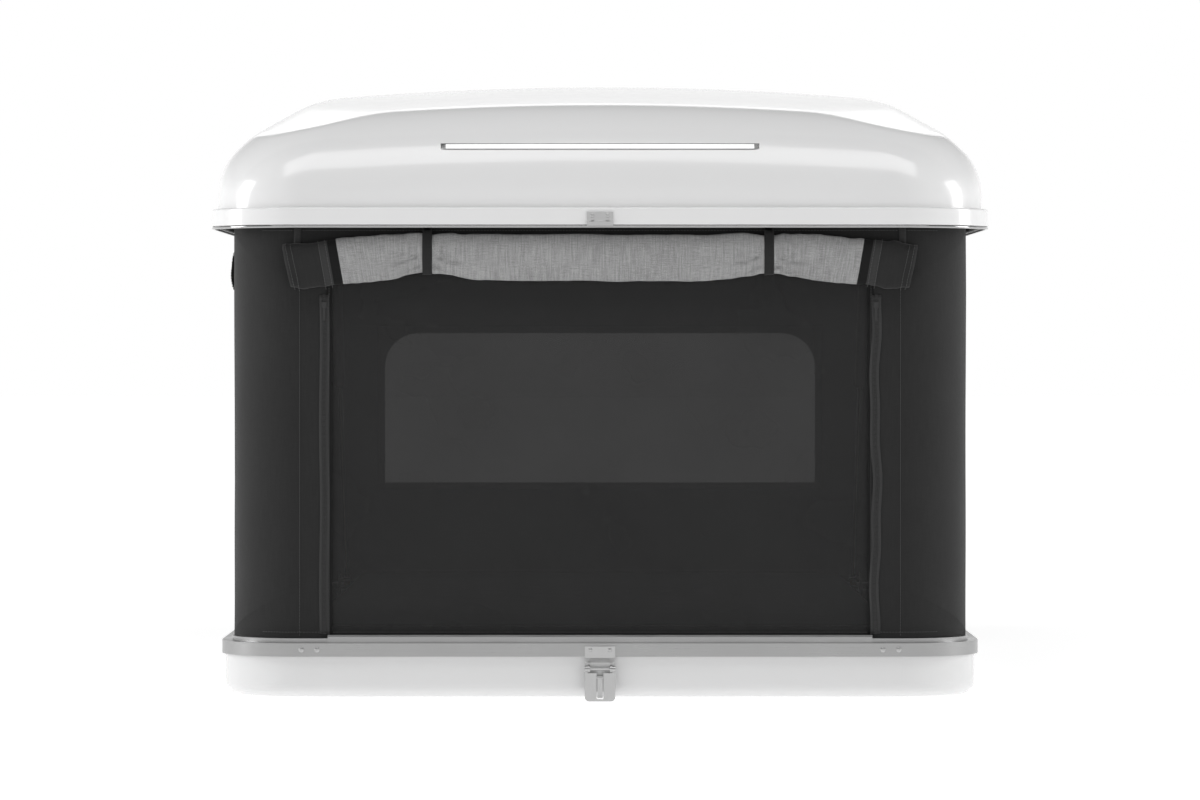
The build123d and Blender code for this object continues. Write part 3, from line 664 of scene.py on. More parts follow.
def wall_place(along, height, out=0.0):
    """A point on the canvas ring. along runs from the middle of the front towards +X."""
    half_x, half_y = SKIRT_HALF_X - CANVAS_INSET, SKIRT_HALF_Y - CANVAS_INSET
    radius = SKIRT_RADIUS - CANVAS_INSET
    flat_x, flat_y = half_x - radius, half_y - radius
    arc = radius * math.pi / 2
    side = np.sign(along) + (along == 0)
    s = np.abs(along)
    first = np.clip(s, 0, flat_x)
    turn = np.clip((s - flat_x) / radius, 0, math.pi / 2)
    second = np.clip(s - flat_x - arc, 0, None)
    nx, ny = np.sin(turn), -np.cos(turn)
    x = first + radius * np.sin(turn) + nx * out
    y = -half_y + radius * (1 - np.cos(turn)) + second + ny * out
    return np.stack([side * x, y, height + 0 * s], axis=-1)


# ---- lid ----

ROOF_CREST = BOX["lid_shell"][1][2] + 0.001
ROOF_BEND = 6.258


def soft_max(a, b, radius):
    """The larger of two distances, with the edge between them rounded."""
    near = np.clip(radius - np.abs(a - b), 0, None) / radius
    return np.maximum(a, b) + near * near * radius / 4


def dome_gap(x, y, z):
    """How far a point is outside the dome: below zero inside it."""
    ax, ay = np.abs(x), np.abs(y)
    side = 0.640 - 3.54 * np.clip(z - 0.855, 0, None) ** 2
    end = 1.056 - 1.4 * np.clip(z - DOME_BASE, 0, None) ** 2
    qx, qy = ax - (side - SKIRT_RADIUS), ay - (end - SKIRT_RADIUS)
    corner = np.hypot(np.clip(qx, 0, None), np.clip(qy, 0, None))
    wall = corner + np.minimum(np.maximum(qx, qy), 0) - SKIRT_RADIUS
    crown = z - (ROOF_CREST - y * y / (2 * ROOF_BEND) - 0.0888 * x * x)
    flank = 0.656 * (ax - 0.587) + 0.755 * (z - 0.959)
    facet = 0.198 * (ax - 0.568) + 0.166 * (ay - 0.957) + 0.966 * (z - 0.952)
    blend = 0.05 + 0.45 * np.clip(ay - 0.80, 0, 0.2)
    rounded = soft_max(wall, crown, blend)
    return soft_max(soft_max(rounded, facet, 0.005), flank, 0.012)


def dome_rows(inset, levels, path_step):
    """Rings of points on the dome, from its base to its top, each on the same rays."""
    points, _ = plan_path(0.012, path_step, 40)
    spine = np.column_stack([np.zeros(len(points)), np.clip(points[:, 1], -SPINE, SPINE)])
    rows = []
    for lift in levels:
        across = (points - spine) * math.cos(lift)
        up = 0.245 * math.sin(lift)

        def outside(reach):
            x, y = (spine + across * reach[:, None]).T
            return dome_gap(x, y, DOME_BASE + up * reach) > -inset

        reach = last_inside(outside, np.full(len(points), 0.3), np.full(len(points), 1.5))
        rows.append(np.column_stack([spine + across * reach[:, None], DOME_BASE + up * reach]))
    return rows


def lid_shell():
    """Skirt, ledge and crowned dome, with a second wall inside."""
    path_step = 0.016
    points, normals = plan_path(0.0, path_step, 40)
    outer = np.linspace(0, math.pi / 2, 96)
    inner = np.linspace(0, math.pi / 2, 24)

    def level(inset, height):
        return at_height(points - normals * inset, height)

    skirt_in = [level(inset, DOME_BASE - 0.004) for inset in (0.016, 0.005)]
    skirt_in += [level(0.005, BEAD_TOP)]
    skirt_out = [level(0.0, BEAD_TOP + 0.0005)]
    skirt_out += [level(0.0, DOME_BASE - h) for h in (0.02, 0.0045, 0.003)]
    skirt_out += [level(0.0009, DOME_BASE - 0.001), level(0.003, DOME_BASE), level(0.0095, DOME_BASE)]
    rows = dome_rows(0.005, inner, path_step)[::-1] + skirt_in + skirt_out
    rows += dome_rows(0, outer, path_step)
    made = ringed("lid_shell_skin", rows, "lid_white", 0.0002)
    made.data.set_sharp_from_angle(angle=math.radians(50))
    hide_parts("lid_shell")
    return on_body(made, "lid")


def lid_trim_strip():
    """The plain bright strip, laid on the front of the dome."""
    half, bottom, top, proud = 0.264, 0.930, 0.940, 0.0018
    across = np.linspace(-half, half, 61)
    section = [(bottom, 0.0), (bottom, proud * 0.7), (bottom + 0.001, proud)]
    section += [(top - 0.001, proud), (top, proud * 0.7), (top, 0.0)]
    rows = []
    for x in across:
        taper = min(1.0, (half - abs(x)) / 0.006)
        for z, out in section:
            skin = last_inside(lambda y: dome_gap(x, y, z) > 0, -0.90, -1.10)
            rows.append((x, float(skin) - out * taper, z))
    faces = grid_faces(len(across), len(section), True)
    faces += [tuple(range(len(section)))[::-1]]
    faces += [tuple((len(across) - 1) * len(section) + k for k in range(len(section)))]
    made = piece("lid_bright_strip", rows, faces, ["trim_chrome"], smooth=False)
    settle(made, outwards=True)
    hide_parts("lid_trim_strip")
    return on_body(made, "lid")


def on_body(made, body):
    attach(made, body)
    return made


def folding(made):
    """Cloth carried on the base, with a mesh of its own."""
    on_body(made, "base")
    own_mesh(made)
    return made


# ---- canvas walls ----


def ripple(along, height, seed, size=0.0016):
    """Slack in a stretched wall: soft upright folds that die out at the rails."""
    values = []
    for s, z in zip(np.ravel(along), np.ravel(height)):
        a = noise.noise(Vector((s * 7.0, z * 1.6, seed)))
        b = noise.noise(Vector((s * 22.0, z * 5.0, seed + 9.0)))
        values.append(a + 0.35 * b)
    share = (np.ravel(height) - CANVAS_BOTTOM) / (CANVAS_TOP - CANVAS_BOTTOM)
    held = np.clip(np.minimum(share, 1 - share) * 6, 0, 1)
    return (np.array(values) * size * held).reshape(np.shape(along))


def opening_reach(angle, middle, half, radius_low, radius_high):
    """The point where a ray from an opening's middle leaves its rounded rectangle."""

    def outside(t):
        u, v = math.cos(angle) * t, math.sin(angle) * t
        radius = radius_high if v > 0 else radius_low
        qx, qy = abs(u) - (half[0] - radius), abs(v) - (half[1] - radius)
        return math.hypot(max(qx, 0), max(qy, 0)) + min(max(qx, qy), 0) - radius > 0

    reach = float(last_inside(outside, 0.0, 3.0, 46))
    return middle[0] + math.cos(angle) * reach, middle[1] + math.sin(angle) * reach


def corner_angles(middle, half, radius_low, radius_high, count):
    """Ray angles that hit every corner arc of an opening, and its straight sides evenly."""
    angles = []
    for sx, sy in ((1, 1), (-1, 1), (-1, -1), (1, -1)):
        radius = radius_high if sy > 0 else radius_low
        cx, cy = sx * (half[0] - radius), sy * (half[1] - radius)
        start = {(1, 1): 0, (-1, 1): 90, (-1, -1): 180, (1, -1): 270}[(sx, sy)]
        steps = 10 if radius > 0.01 else 1
        for k in range(steps + 1):
            turn = math.radians(start + 90 * k / steps)
            angles.append(math.atan2(cy + radius * math.sin(turn), cx + radius * math.cos(turn)))
    for k in range(count):
        x = half[0] * (2 * (k + 0.5) / count - 1)
        angles += [math.atan2(half[1], x), math.atan2(-half[1], x)]
    for k in range(count // 2):
        y = half[1] * (2 * (k + 0.5) / (count // 2) - 1)
        angles += [math.atan2(y, half[0]), math.atan2(y, -half[0])]
    return angles


def framed_wall(outer_low, outer_high, low, high, radius_low, radius_high, count=56, rings=34):
    """Points (along, height) and quads of a wall with one opening in it."""
    middle = ((low[0] + high[0]) / 2, (low[1] + high[1]) / 2)
    half = ((high[0] - low[0]) / 2, (high[1] - low[1]) / 2)
    angles = corner_angles(middle, half, radius_low, radius_high, count)
    for x in (outer_low[0], outer_high[0]):
        for y in (outer_low[1], outer_high[1]):
            angles.append(math.atan2(y - middle[1], x - middle[0]))
    for k in range(1, 24):
        y = outer_low[1] + (outer_high[1] - outer_low[1]) * k / 24
        for x in (outer_low[0], outer_high[0]):
            angles.append(math.atan2(y - middle[1], x - middle[0]))
    angles = sorted({round(a, 5) for a in angles})
    inner = [opening_reach(a, middle, half, radius_low, radius_high) for a in angles]
    outer = []
    for a in angles:
        reach = []
        if abs(math.cos(a)) > 1e-9:
            edge = outer_high[0] if math.cos(a) > 0 else outer_low[0]
            reach.append((edge - middle[0]) / math.cos(a))
        if abs(math.sin(a)) > 1e-9:
            edge = outer_high[1] if math.sin(a) > 0 else outer_low[1]
            reach.append((edge - middle[1]) / math.sin(a))
        t = min(reach)
        outer.append((middle[0] + math.cos(a) * t, middle[1] + math.sin(a) * t))
    inner, outer = np.array(inner), np.array(outer)
    rows = [inner + (outer - inner) * t for t in np.linspace(0, 1, rings)]
    return np.concatenate(rows), grid_faces(rings, len(angles), True)


def flat_wall(low, high, columns, rows):
    across = np.linspace(low[0], high[0], columns)
    up = np.linspace(low[1], high[1], rows)
    flat = np.array([(u, v) for v in up for u in across])
    return flat, grid_faces(rows, columns)


def to_front(flat, out):
    return wall_place(flat[:, 0], flat[:, 1], out)


def to_rear(flat, out):
    """The same as the front, turned half round."""
    placed = wall_place(flat[:, 0], flat[:, 1], out)
    return placed * np.array([-1, -1, 1])


def to_side(sign):
    def place(flat, out):
        x = np.full(len(flat), sign * (SKIRT_HALF_X - CANVAS_INSET)) + sign * out
        return np.column_stack([x, sign * flat[:, 0], flat[:, 1]])

    return place


PLACE = {"front": to_front, "rear": to_rear, "left": to_side(-1), "right": to_side(1)}


def cloth_sheet(names, flat, faces, face, out, thickness, finish, seed=None):
    """A sheet on one face of the tent. names are its own and its CAD node's."""
    name, node = names
    slack = ripple(flat[:, 0], flat[:, 1], SEED[face] if seed is None else seed)
    placed = PLACE[face](flat, out + slack)
    made = piece(name, placed, faces, [finish], uv=flat)
    turn_outwards(made)
    if thickness:
        settle(made, thickness=thickness)
    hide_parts(node)
    return folding(made)


def turn_outwards(made):
    """Flips an open sheet if it faces the middle of the tent."""
    total = 0.0
    for face in made.data.polygons:
        centre = face.center
        spine = Vector((0, max(-SPINE, min(SPINE, centre.y)), centre.z))
        total += face.normal.dot(centre - spine) * face.area
    if total < 0:
        made.data.flip_normals()


WALL_REACH_END = 0.5 + (SKIRT_RADIUS - CANVAS_INSET) * math.pi / 2
WALL_REACH_SIDE = SKIRT_HALF_Y - SKIRT_RADIUS
CANVAS_THICKNESS = 0.0012


def canvas_walls():
    bottom, top = CANVAS_BOTTOM, CANVAS_TOP
    for face, reach, half, low, high, radius_low, radius_high in (
        ("front", WALL_REACH_END, DOOR_HALF, SILL_TOP, DOOR_TOP, 0.002, 0.005),
        ("rear", WALL_REACH_END, DOOR_HALF, WINDOW_BOTTOM, WINDOW_TOP, 0.002, WINDOW_RADIUS),
        ("left", WALL_REACH_SIDE, SIDE_DOOR_HALF, SIDE_DOOR_BOTTOM, DOOR_TOP, 0.06, 0.002),
    ):
        wall = ((-reach, bottom), (reach, top), (-half, low), (half, high))
        flat, faces = framed_wall(*wall, radius_low, radius_high)
        area = 2 * reach * (top - bottom) - 2 * half * (high - low)
        names = (f"canvas_wall_{face}", f"canvas_{face}")
        cloth_sheet(names, flat, faces, face, 0, CANVAS_THICKNESS, "canvas")
    flat, faces = flat_wall((-WALL_REACH_SIDE, bottom), (WALL_REACH_SIDE, top), 120, 50)
    names = ("canvas_wall_right", "canvas_right")
    cloth_sheet(names, flat, faces, "right", 0, CANVAS_THICKNESS, "canvas")
    low, high = BOX["door_flap_right"]
    flat, faces = flat_wall(low[1:], high[1:], 110, 56)
    names = ("closed_door_flap", "door_flap_right")
    cloth_sheet(names, flat, faces, "right", 0.0021, 0.0010, "canvas")


def mesh_panels():
    lap = 0.008
    for k, (face, node, half, low, high) in enumerate((
        ("front", "mesh_door_front", DOOR_HALF, SILL_TOP - 0.003, DOOR_TOP + lap),
        ("rear", "mesh_window_rear", DOOR_HALF, WINDOW_BOTTOM - lap, WINDOW_TOP + lap),
        ("left", "mesh_door_left", SIDE_DOOR_HALF, SIDE_DOOR_BOTTOM - lap, DOOR_TOP + lap),
    )):
        flat, faces = flat_wall((-half - lap, low), (half + lap, high), 110, 60)
        names = (f"netting_{face}", node)
        cloth_sheet(names, flat, faces, face, -0.0042, 0, "insect_mesh", seed=11.0 + k)


# ---- rolled flaps ----


def spiral(half_height, depth, turns, per_turn=30):
    """A flattened spiral round its own middle: angles, sizes and lengths along the cloth."""
    around = np.linspace(0, turns * 2 * math.pi, round(turns * per_turn))
    size = 0.30 + 0.70 * around / around[-1]
    out, up = depth / 2 * np.cos(around) * size, half_height * np.sin(around) * size
    return around, size, run_lengths(np.column_stack([out, up]))


def strap_creases(gap, height):
    """Valleys that fan out from a strap low on the roll. gap is the distance from the strap."""
    gap = max(gap - 0.009, 0.0)
    fade = math.exp(-gap / 0.034) * (1 - math.exp(-gap / 0.004))
    depth = 0.0
    for start, slope, width, size in (
        (-0.45, 6.0, 0.13, 0.9),
        (-0.60, -5.0, 0.12, 1.0),
        (-0.20, 12.0, 0.12, 0.6),
        (0.15, -9.0, 0.10, 0.4),
    ):
        off = (height - start - slope * gap) / width
        depth += size * (math.exp(-off * off) - 0.45 * math.exp(-((off - 1.6) ** 2)))
    return depth * fade


ROLL_DEPTH = 0.0245
# How high each roll's middle is, half its height, and where its straps are.
ROLLS = {
    "front": (0.749, 0.041, (-0.285, 0.279)),
    "left": (0.745, 0.041, (-0.42, 0.0, 0.42)),
    "rear": (0.685, 0.028, (-0.282, 0.282)),
}


def flap_roll(face, node, half_length, sleeve, turns, seed):
    """A flap rolled up into a flattened spiral, gathered low down where straps hold it."""
    name = f"flap_roll_{face}"
    middle_z, half_height, straps = ROLLS[face]
    around, sizes, lengths = spiral(half_height, ROLL_DEPTH, turns)
    along = np.linspace(-half_length, half_length, max(60, round(2 * half_length / 0.005)))

    def spot(s, a, size):
        strap = min(straps, key=lambda x: abs(s - x))
        gap = abs(s - strap)
        pinch, near = math.exp(-((gap / 0.016) ** 2)), math.exp(-((gap / 0.06) ** 2))
        end = math.exp(-(((half_length - abs(s)) / 0.10) ** 2))
        droop = -0.012 * end + 0.003 * near
        sway = 0.0025 * noise.noise(Vector((s * 9.0, 0.0, seed)))
        low, high = max(-math.sin(a), 0), max(math.sin(a), 0)
        fold = noise.noise(Vector((s * 24.0, math.cos(a) * 1.2, math.sin(a) * 1.2 + seed)))
        crease = noise.noise(Vector((s * 64.0 + math.sin(a) * 2.5, math.sin(a) * 1.5, seed + 5)))
        swell = 1 + 0.08 * fold * (0.3 + near + 1.5 * end) + 0.05 * crease * (0.2 + near + 1.4 * end)
        dent = 0.015 * strap_creases(gap, math.sin(a)) * max(math.cos(a), 0)
        out = ROLL_DEPTH / 2 * (1 + math.cos(a) * size * (1 - 0.15 * pinch) * swell) - dent * size
        up = half_height * math.sin(a) * size * swell
        up += half_height * size * (0.30 * low * near - 0.05 * high * pinch - 0.10 * high * end)
        lean = 0.007 * math.sin(a) * size * min(max((abs(s) - 0.30) / 0.1, 0), 1)
        return s + math.copysign(1, s) * lean, middle_z + droop + sway + up, 0.0012 + max(out, 0.0)

    flat = np.array([(s, length) for s in along for length in lengths])
    placed = np.array([spot(s, a, size) for s in along for a, size in zip(around, sizes)])
    world = PLACE[face](placed[:, :2], placed[:, 2])
    edges = np.abs(along[:-1] + (along[1] - along[0]) / 2)
    zone = np.select([edges > sleeve + 0.029, edges > sleeve + 0.014, edges > sleeve], [1, 3, 2], 0)
    tone = np.repeat(zone, len(around) - 1)
    finishes = ["flap_grey", "canvas", "binding", "zip_tape"]
    made = piece(name, world, grid_faces(len(along), len(around)), finishes, uv=flat, face_finish=tone)
    settle(made, thickness=0.0007)
    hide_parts(node)
    front = np.linspace(-0.45 * math.pi, 0.45 * math.pi, 60)
    reaches = (sleeve + 0.016, sleeve + 0.027, half_length - 0.005, half_length - 0.012)
    for k, reach in enumerate(reaches):
        for side, end in ((-1, 1), (1, 2)):
            line = np.array([spot(side * reach, a, 1.0) for a in front])
            line = PLACE[face](line[:, :2], line[:, 2] + 0.0005)
            row = STITCHES.grow(
                f"{name}_end_{end}_hem_{k + 1}",
                line,
                chain(len(line)),
                Spacing=0.0046,
                Size=HEM_STITCH,
                Out=OUTWARD[face],
            )
            folding(row)
    return folding(made)


def flap_rolls():
    flap_roll("front", "door_roll_front", 0.515, 0.432, 5.6, 1.0)
    flap_roll("left", "door_roll_left", 0.636, 0.595, 5.6, 2.0)
    flap_roll("rear", "window_roll_rear", 0.445, 0.405, 4.0, 3.0)


# ---- tapes, zips, stitches and straps ----

# How long, wide and proud each stitch or tooth is.
SEAM_STITCH = (0.0032, 0.0006, 0.0006)
BINDING_STITCH = (0.003, 0.0006, 0.0006)
HEM_STITCH = (0.003, 0.0007, 0.0007)
ZIP_TOOTH = (0.0014, 0.0014, 0.0044)
ZIP_HALF = 0.456
SIDE_ZIP_HALF = 0.6085

SEED = {"front": 1.0, "rear": 2.0, "left": 3.0, "right": 4.0}
OUTWARD = {"front": (0, -1, 0), "rear": (0, 1, 0), "left": (-1, 0, 0), "right": (1, 0, 0)}


def even_steps(corners, step):
    """Points along a line of corners, near enough step apart."""
    points = [np.array(corners[0], float)]
    for a, b in zip(corners, corners[1:]):
        a, b = np.array(a, float), np.array(b, float)
        count = max(1, round(float(np.linalg.norm(b - a)) / step))
        points += [a + (b - a) * k / count for k in range(1, count + 1)]
    return np.array(points)


def on_wall(face, flat, out):
    slack = ripple(flat[:, 0], flat[:, 1], SEED[face])
    return PLACE[face](flat, out + slack)


def sewn_tape(name, face, corners, width, out, thickness, finish, nodes=()):
    """A tape sewn flat on a wall along a line of corners."""
    line = even_steps(corners, 0.008)
    ahead = np.gradient(line, axis=0)
    ahead /= np.linalg.norm(ahead, axis=1)[:, None]
    across = np.column_stack([-ahead[:, 1], ahead[:, 0]])
    length = run_lengths(line)
    rows, uv = [], []
    for k in np.linspace(-0.5, 0.5, 4):
        rows.append(on_wall(face, line + across * width * k, out))
        uv.append(np.column_stack([np.full(len(line), k * width), length]))
    made = piece(name, np.concatenate(rows), grid_faces(4, len(line)), [finish], uv=np.concatenate(uv))
    turn_outwards(made)
    settle(made, thickness=thickness)
    if nodes:
        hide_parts(*nodes)
    return folding(made)


def sewn_row(name, face, corners, out, spacing, size, recipe):
    """A row of stitches or teeth along a line of corners on a wall."""
    line = even_steps(corners, 0.004)
    made = recipe.grow(
        name,
        on_wall(face, line, out),
        chain(len(line)),
        Spacing=spacing,
        Size=size,
        Out=OUTWARD[face],
    )
    return folding(made)


def rounded_corners(low, high, radius_low, radius_high):
    """An opening's outline as a closed line of corners, from the middle of its bottom edge."""
    points = [((low[0] + high[0]) / 2, low[1])]
    for cx, cy, radius, start in (
        (high[0], low[1], radius_low, 270),
        (high[0], high[1], radius_high, 0),
        (low[0], high[1], radius_high, 90),
        (low[0], low[1], radius_low, 180),
    ):
        centre = (cx - math.copysign(radius, cx), cy + (radius if start >= 180 else -radius))
        points += quarter(centre, radius, start, 8)
    return points + points[:1]


ZIP_TOP = BOX["zips_front"][1][2]
SIDE_ZIP_TOP = BOX["zips_left"][1][2]


def side_zip_line(half, bottom, top, radius=0.065):
    """The U-shaped run of a side door's zip."""
    points = [(-half, top)]
    for cx, start in ((-half + radius, 180), (half - radius, 270)):
        points += quarter((cx, bottom + radius), radius, start, 8)
    return points + [(half, top)]


def zips():
    """Tapes and teeth. Gives the pieces sewn on each wall."""
    sewn = {"front": [], "rear": [], "left": [], "right": []}
    side = side_zip_line(SIDE_ZIP_HALF, 0.1515, SIDE_ZIP_TOP)
    heights = np.linspace(0.129, ZIP_TOP, 40)
    left = [(-ZIP_HALF + 0.0008 * math.sin(23 * z), z) for z in heights]
    right = [(ZIP_HALF + 0.0022 * math.sin(19 * z + 1) + 0.0012 * math.sin(53 * z), z) for z in heights]
    lines = {
        "zip_front_left": ("front", left, "zips_front"),
        "zip_front_right": ("front", right, "zips_front"),
        "zip_left_door": ("left", side, "zips_left"),
        "zip_right_door": ("right", side, "zips_right"),
    }
    for name, (face, corners, node) in lines.items():
        out = 0.0028 if face == "right" else 0.0012
        tape = sewn_tape(name + "_tape", face, corners, 0.016, out, 0.0008, "zip_tape", [node])
        proud = out + 0.0006
        teeth = sewn_row(name + "_teeth", face, corners, proud, 0.0028, ZIP_TOOTH, TEETH)
        sewn[face] += [tape, teeth]
    return sewn


def stitches(name, face, corners, out=0.0004, spacing=0.0050, size=SEAM_STITCH):
    return sewn_row(name, face, corners, out, spacing, size, STITCHES)


def seams(sewn):
    """Bindings round the openings and rows of stitches beside them."""
    low, high = (-DOOR_HALF, WINDOW_BOTTOM), (DOOR_HALF, WINDOW_TOP)
    window = rounded_corners(low, high, 0.004, WINDOW_RADIUS)
    low, high = (-SIDE_DOOR_HALF, SIDE_DOOR_BOTTOM), (SIDE_DOOR_HALF, DOOR_TOP)
    door = rounded_corners(low, high, 0.06, 0.004)
    sill = SILL_TOP + 0.002
    entrance = [(-DOOR_HALF, sill), (-DOOR_HALF, DOOR_TOP), (DOOR_HALF, DOOR_TOP), (DOOR_HALF, sill)]
    for name, face, corners, width in (
        ("window_binding", "rear", window, 0.012),
        ("door_binding", "left", door, 0.010),
        ("entrance_binding", "front", entrance, 0.009),
    ):
        sewn[face].append(sewn_tape(name, face, corners, width, 0.0007, 0.0006, "binding"))
        sewn[face].append(stitches(name + "_stitches", face, corners, 0.0010, 0.0046, BINDING_STITCH))
    top, bottom = CANVAS_TOP - 0.012, CANVAS_BOTTOM + 0.010
    for face, reach in (("front", 0.56), ("rear", 0.56), ("left", 0.86), ("right", 0.86)):
        for name, height in (("top", top), ("bottom", bottom)):
            line = [(-reach, height), (reach, height)]
            sewn[face].append(stitches(f"{face}_{name}_stitches", face, line))
    for side, s in (("left", -0.500), ("right", 0.500)):
        hanger = [(s, 0.770), (s, CANVAS_TOP - 0.003)]
        tape = sewn_tape(f"sleeve_hanger_{side}", "front", hanger, 0.012, 0.0016, 0.0010, "zip_tape")
        sewn["front"].append(tape)
    for side, s in (("left", -0.497), ("right", 0.497)):
        corners = [(s, CANVAS_BOTTOM + 0.006), (s, CANVAS_TOP - 0.006)]
        sewn["front"].append(stitches(f"corner_seam_stitches_{side}", "front", corners))
    return sewn


def sliders():
    """The zip sliders: a body on the teeth and a pull that hangs from it."""
    z = BOX["zip_pulls"][1][2] - 0.004
    parts = []
    halves = {"front": ZIP_HALF, "left": SIDE_ZIP_HALF, "right": SIDE_ZIP_HALF}
    for face, s in ((face, sign * half) for face, half in halves.items() for sign in (-1, 1)):
        out = 0.0045 if face == "right" else 0.0030
        body, pull = (z - 0.004, (0.0085, 0.010, 0.0036)), (z - 0.019, (0.0045, 0.022, 0.0014))
        for height, size in (body, pull):
            corners = [
                (s + i * size[0] / 2, height + j * size[1] / 2, out + k * size[2] / 2)
                for i in (-1, 1) for j in (-1, 1) for k in (-1, 1)
            ]
            corners = np.array(corners)
            points = PLACE[face](corners[:, :2], corners[:, 2])
            faces = [(0, 1, 3, 2), (4, 6, 7, 5), (0, 4, 5, 1), (2, 3, 7, 6), (0, 2, 6, 4), (1, 5, 7, 3)]
            made = piece("slider", points, faces, ["zip_metal"], smooth=False)
            settle(made, outwards=True)
            edge = made.modifiers.new("edge", "BEVEL")
            edge.width, edge.segments = 0.0005, 2
            parts.append(apply_all(made))
    made = joined("zip_sliders", parts)
    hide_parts("zip_pulls")
    folding(made)


def strap_loop(face, number, s, middle_z, half_height, width=0.016):
    """A webbing loop round a roll, hung from the canvas above it."""
    middle = CANVAS_THICKNESS + ROLL_DEPTH / 2
    semi_out, semi_up = ROLL_DEPTH / 2 * 0.88 + 0.0018, half_height * 0.86 + 0.0018
    centre = middle_z + 0.004
    path = [(0.0016, min(CANVAS_TOP - 0.008, centre + semi_up + 0.018))]
    for k in range(33):
        angle = math.radians(100 - 255 * k / 32)
        rise = semi_up * math.sin(angle) * (1.14 if math.sin(angle) > 0 else 0.84)
        path.append((middle + semi_out * math.cos(angle), centre + rise))
    path = np.array(path)
    path[:, 0] = np.maximum(path[:, 0], 0.0010)
    points, uv = [], []
    for (out, z), run in zip(path, run_lengths(path)):
        for k in np.linspace(-0.5, 0.5, 5):
            points.append((s + k * width, z, out - 0.0006 * (2 * k) ** 2))
            uv.append((k * width, run))
    points = np.array(points)
    world = PLACE[face](points[:, :2], points[:, 2])
    faces = grid_faces(len(path), 5)
    made = piece(f"strap_{face}_{number}", world, faces, ["webbing"], uv=uv)
    settle(made, outwards=True)
    settle(made, thickness=0.0012)
    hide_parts(f"tie_straps_{face}")
    return folding(made)


def straps():
    made = {}
    for face, (z, half_height, places) in ROLLS.items():
        made[face] = [strap_loop(face, k + 1, s, z, half_height) for k, s in enumerate(places)]
    return made


# ---- mattress and ceiling ----


def rounded_plan(half_x, half_y, radius, steps=14, straight=24):
    points = []
    for cx, cy, start in (
        (half_x - radius, half_y - radius, 0),
        (radius - half_x, half_y - radius, 90),
        (radius - half_x, radius - half_y, 180),
        (half_x - radius, radius - half_y, 270),
    ):
        points += quarter((cx, cy), radius, start, steps)
    return even_steps(points + points[:1], (half_x + half_y) / straight)[:-1]


QUILT_X, QUILT_Y = 0.163, 0.166


def foam_mattress():
    low, high = [np.array(v, float) for v in BOX["mattress"]]
    half_x, half_y = high[0] - 0.002, high[1] - 0.002
    height = high[2] - low[2]
    rows = []
    outline = rounded_plan(half_x, half_y, 0.05)
    size = np.array([half_x, half_y])
    for t in np.linspace(0, 1, 12):
        rows.append(at_height(outline * (0.97 * t), low[2] + 0.0003))
    for t in np.linspace(0.04, 0.96, 9):
        swell = 1 - 0.010 * (2 * t - 1) ** 2
        rows.append(at_height(outline * swell, low[2] + height * t))
    for t in np.linspace(0.985, 0, 40):
        flat = outline * t
        edge = np.clip(1 - np.max(np.abs(flat) / size, axis=1), 0, 1)
        across, along = flat[:, 0] * 2 * math.pi / QUILT_X, flat[:, 1] * 2 * math.pi / QUILT_Y
        quilt = 0.5 - 0.5 * np.cos(across) * np.cos(along)
        rise = np.clip(edge * 24, 0, 1) ** 0.5
        rows.append(np.column_stack([flat, high[2] - 0.006 + rise * (0.002 + 0.004 * quilt)]))
    made = ringed("foam_mattress", rows, "mattress_cover", 0.0001)
    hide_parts("mattress")
    on_body(made, "base")
    for name, z in (("upper", high[2] - 0.006), ("lower", low[2] + 0.006)):
        line = at_height(outline * 0.999, z)
        cord = CORD.grow(f"mattress_piping_{name}", line, chain(len(line), True), Radius=0.0022)
        on_body(cord, "base")


def ceiling_liner():
    """The cloth under the roof, cut to the inside of the dome."""
    low, high = BOX["lid_liner"][0][2], BOX["lid_liner"][1][2]
    points, _ = plan_path(0.012, 0.04, 20)
    spine = np.column_stack([np.zeros(len(points)), np.clip(points[:, 1], -SPINE, SPINE)])
    across = points - spine

    def outside(reach):
        x, y = (spine + across * reach[:, None]).T
        return dome_gap(x, y, high) > -0.0075

    near = last_inside(outside, np.full(len(points), 0.2), np.full(len(points), 1.0))
    reach = across * near[:, None]
    shares = np.linspace(0, 1, 14)
    rows = [at_height(spine + reach * t, high) for t in shares]
    rows += [at_height(spine + reach * t, low) for t in shares[::-1]]
    made = ringed("ceiling_cloth", rows, "liner_cloth", 0.0002, smooth=False)
    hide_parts("lid_liner")
    on_body(made, "lid")


# ---- swept bead and fastener heads ----


def lid_bead():
    """The round bead under the skirt, swept round the plan."""
    radius = (BEAD_TOP - LID_BOTTOM) / 2
    flat, normals = plan_path(0.0, 0.05, 24)
    line = at_height(flat - normals * radius, LID_BOTTOM + radius)
    made = BEAD.grow("lid_bead", line, chain(len(line), True), Radius=radius)
    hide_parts("lid_edge_trim")
    on_body(made, "lid")


SCREW_HEIGHT = 0.103
CATCH_SCREW_HEIGHT = 0.819


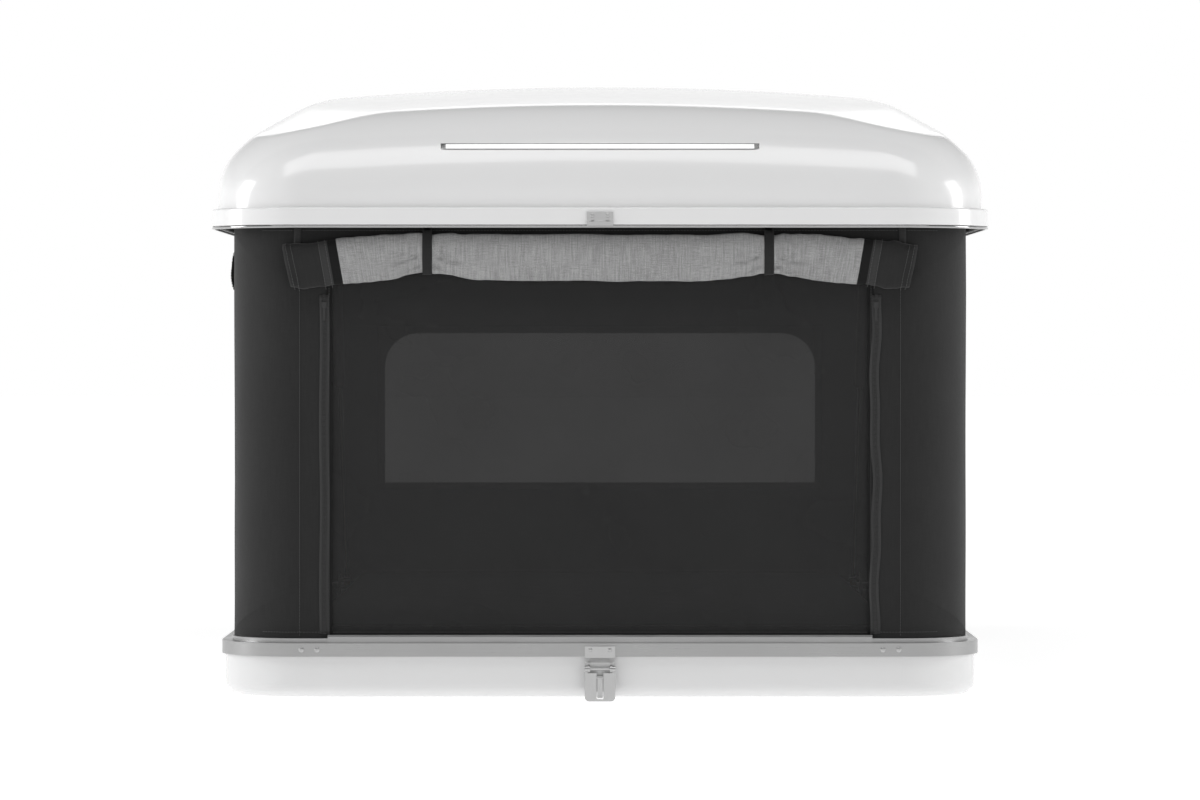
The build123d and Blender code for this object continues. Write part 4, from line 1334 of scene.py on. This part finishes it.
def heads():
    band_y = BOX["rim_band_screws"][1][1] - 0.0018
    band_x = BOX["rim_band_screws"][1][0] - 0.0018
    places, facing = [], []
    for sign in (-1, 1):
        for x in (-0.480, 0.480):
            for shift in (-0.013, 0.013):
                places.append((x + shift, sign * band_y, SCREW_HEIGHT))
                facing.append((0, sign, 0))
        for y in (-0.720, -0.240, 0.240, 0.720):
            for shift in (-0.013, 0.013):
                places.append((sign * band_x, y + shift, SCREW_HEIGHT))
                facing.append((sign, 0, 0))
    made = SOCKET_HEADS.grow("rim_screw_heads", places, [], facing, Radius=0.0045, Height=0.0022)
    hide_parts("rim_band_screws")
    on_body(made, "base")
    rivet_y = BOX["latch_rivets"][1][1] - 0.0018
    places = [(x, sign * rivet_y, SCREW_HEIGHT) for sign in (-1, 1) for x in (-0.016, 0.016)]
    facing = [(0, sign, 0) for sign in (-1, -1, 1, 1)]
    made = ROUND_HEADS.grow("latch_rivet_heads", places, [], facing, Radius=0.0035, Height=0.0018)
    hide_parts("latch_rivets")
    on_body(made, "base")
    catch_y = BOX["lid_catch_screws"][1][1] - 0.002
    places = [(x, sign * catch_y, CATCH_SCREW_HEIGHT) for sign in (-1, 1) for x in (-0.0126, 0.0126)]
    made = SOCKET_HEADS.grow("catch_screw_heads", places, [], facing, Radius=0.0036, Height=0.002)
    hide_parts("lid_catch_screws")
    on_body(made, "lid")


# ---- floor ----


def studio_floor():
    made = Finish("paper_floor_painted_glow", Roughness=0.95, Emission_Strength=1.0, Specular_IOR_Level=0.0)
    where = made.place()
    x, y, _ = made.axes(where)
    # Painted light: from 1.6 m to 7 m out from the tent the floor glows brighter and its own colour darkens. This
    # stands in for the lamps' fall-off, so the floor stays evenly white. Near the tent it glows less and reflects
    # more, so the real shadows show.
    lamp_falloff = made.ranged((x * x + y * y).power(0.5), 1.6, 7.0, 0.0, 1.0)
    mottle = made.noise(where, 0.6, 2.0) * 0.1
    painted_glow = made.mixed(lamp_falloff, grey(0.70), grey(0.955))
    tint = made.mixed((lamp_falloff - mottle).clamped(), grey(0.58), grey(0.30))
    made.feed(Base_Color=tint, Emission_Color=painted_glow)
    size = 60.0
    mesh = bpy.data.meshes.new("floor")
    square = [(-size, -size, 0), (size, -size, 0), (size, size, 0), (-size, size, 0)]
    mesh.from_pydata(square, [], [(0, 1, 2, 3)])
    mesh.materials.append(made.material)
    floor = bpy.data.objects.new("floor", mesh)
    bpy.context.scene.collection.objects.link(floor)


def finish_cad_nodes():
    slots = {row["node"]: row["material_slot"] for row in frame["record"]["subparts"]}
    for name, node in frame["nodes"].items():
        finish = FINISH[slots[name]]
        if not node.material_slots:
            node.data.materials.append(finish)
        for k in range(len(node.material_slots)):
            node.material_slots[k].material = finish


set_camera()
set_light()
FINISH = make_finishes()
studio_floor()
finish_cad_nodes()
STITCHES = row_recipe("stitch_row", "thread")
TEETH = row_recipe("zip_teeth", "zip_metal")
CORD = sweep_recipe("piping_cord", "binding_cord")
BEAD = sweep_recipe("bead_sweep", "bead_grey")
SOCKET_HEADS = head_recipe("socket_heads", "stainless", True)
ROUND_HEADS = head_recipe("round_heads", "stainless", False)
lid_shell()
lid_trim_strip()
lid_bead()
ceiling_liner()
foam_mattress()
SEWN = seams(zips())
canvas_walls()
mesh_panels()
STRAPS = straps()
flap_rolls()
sliders()
heads()
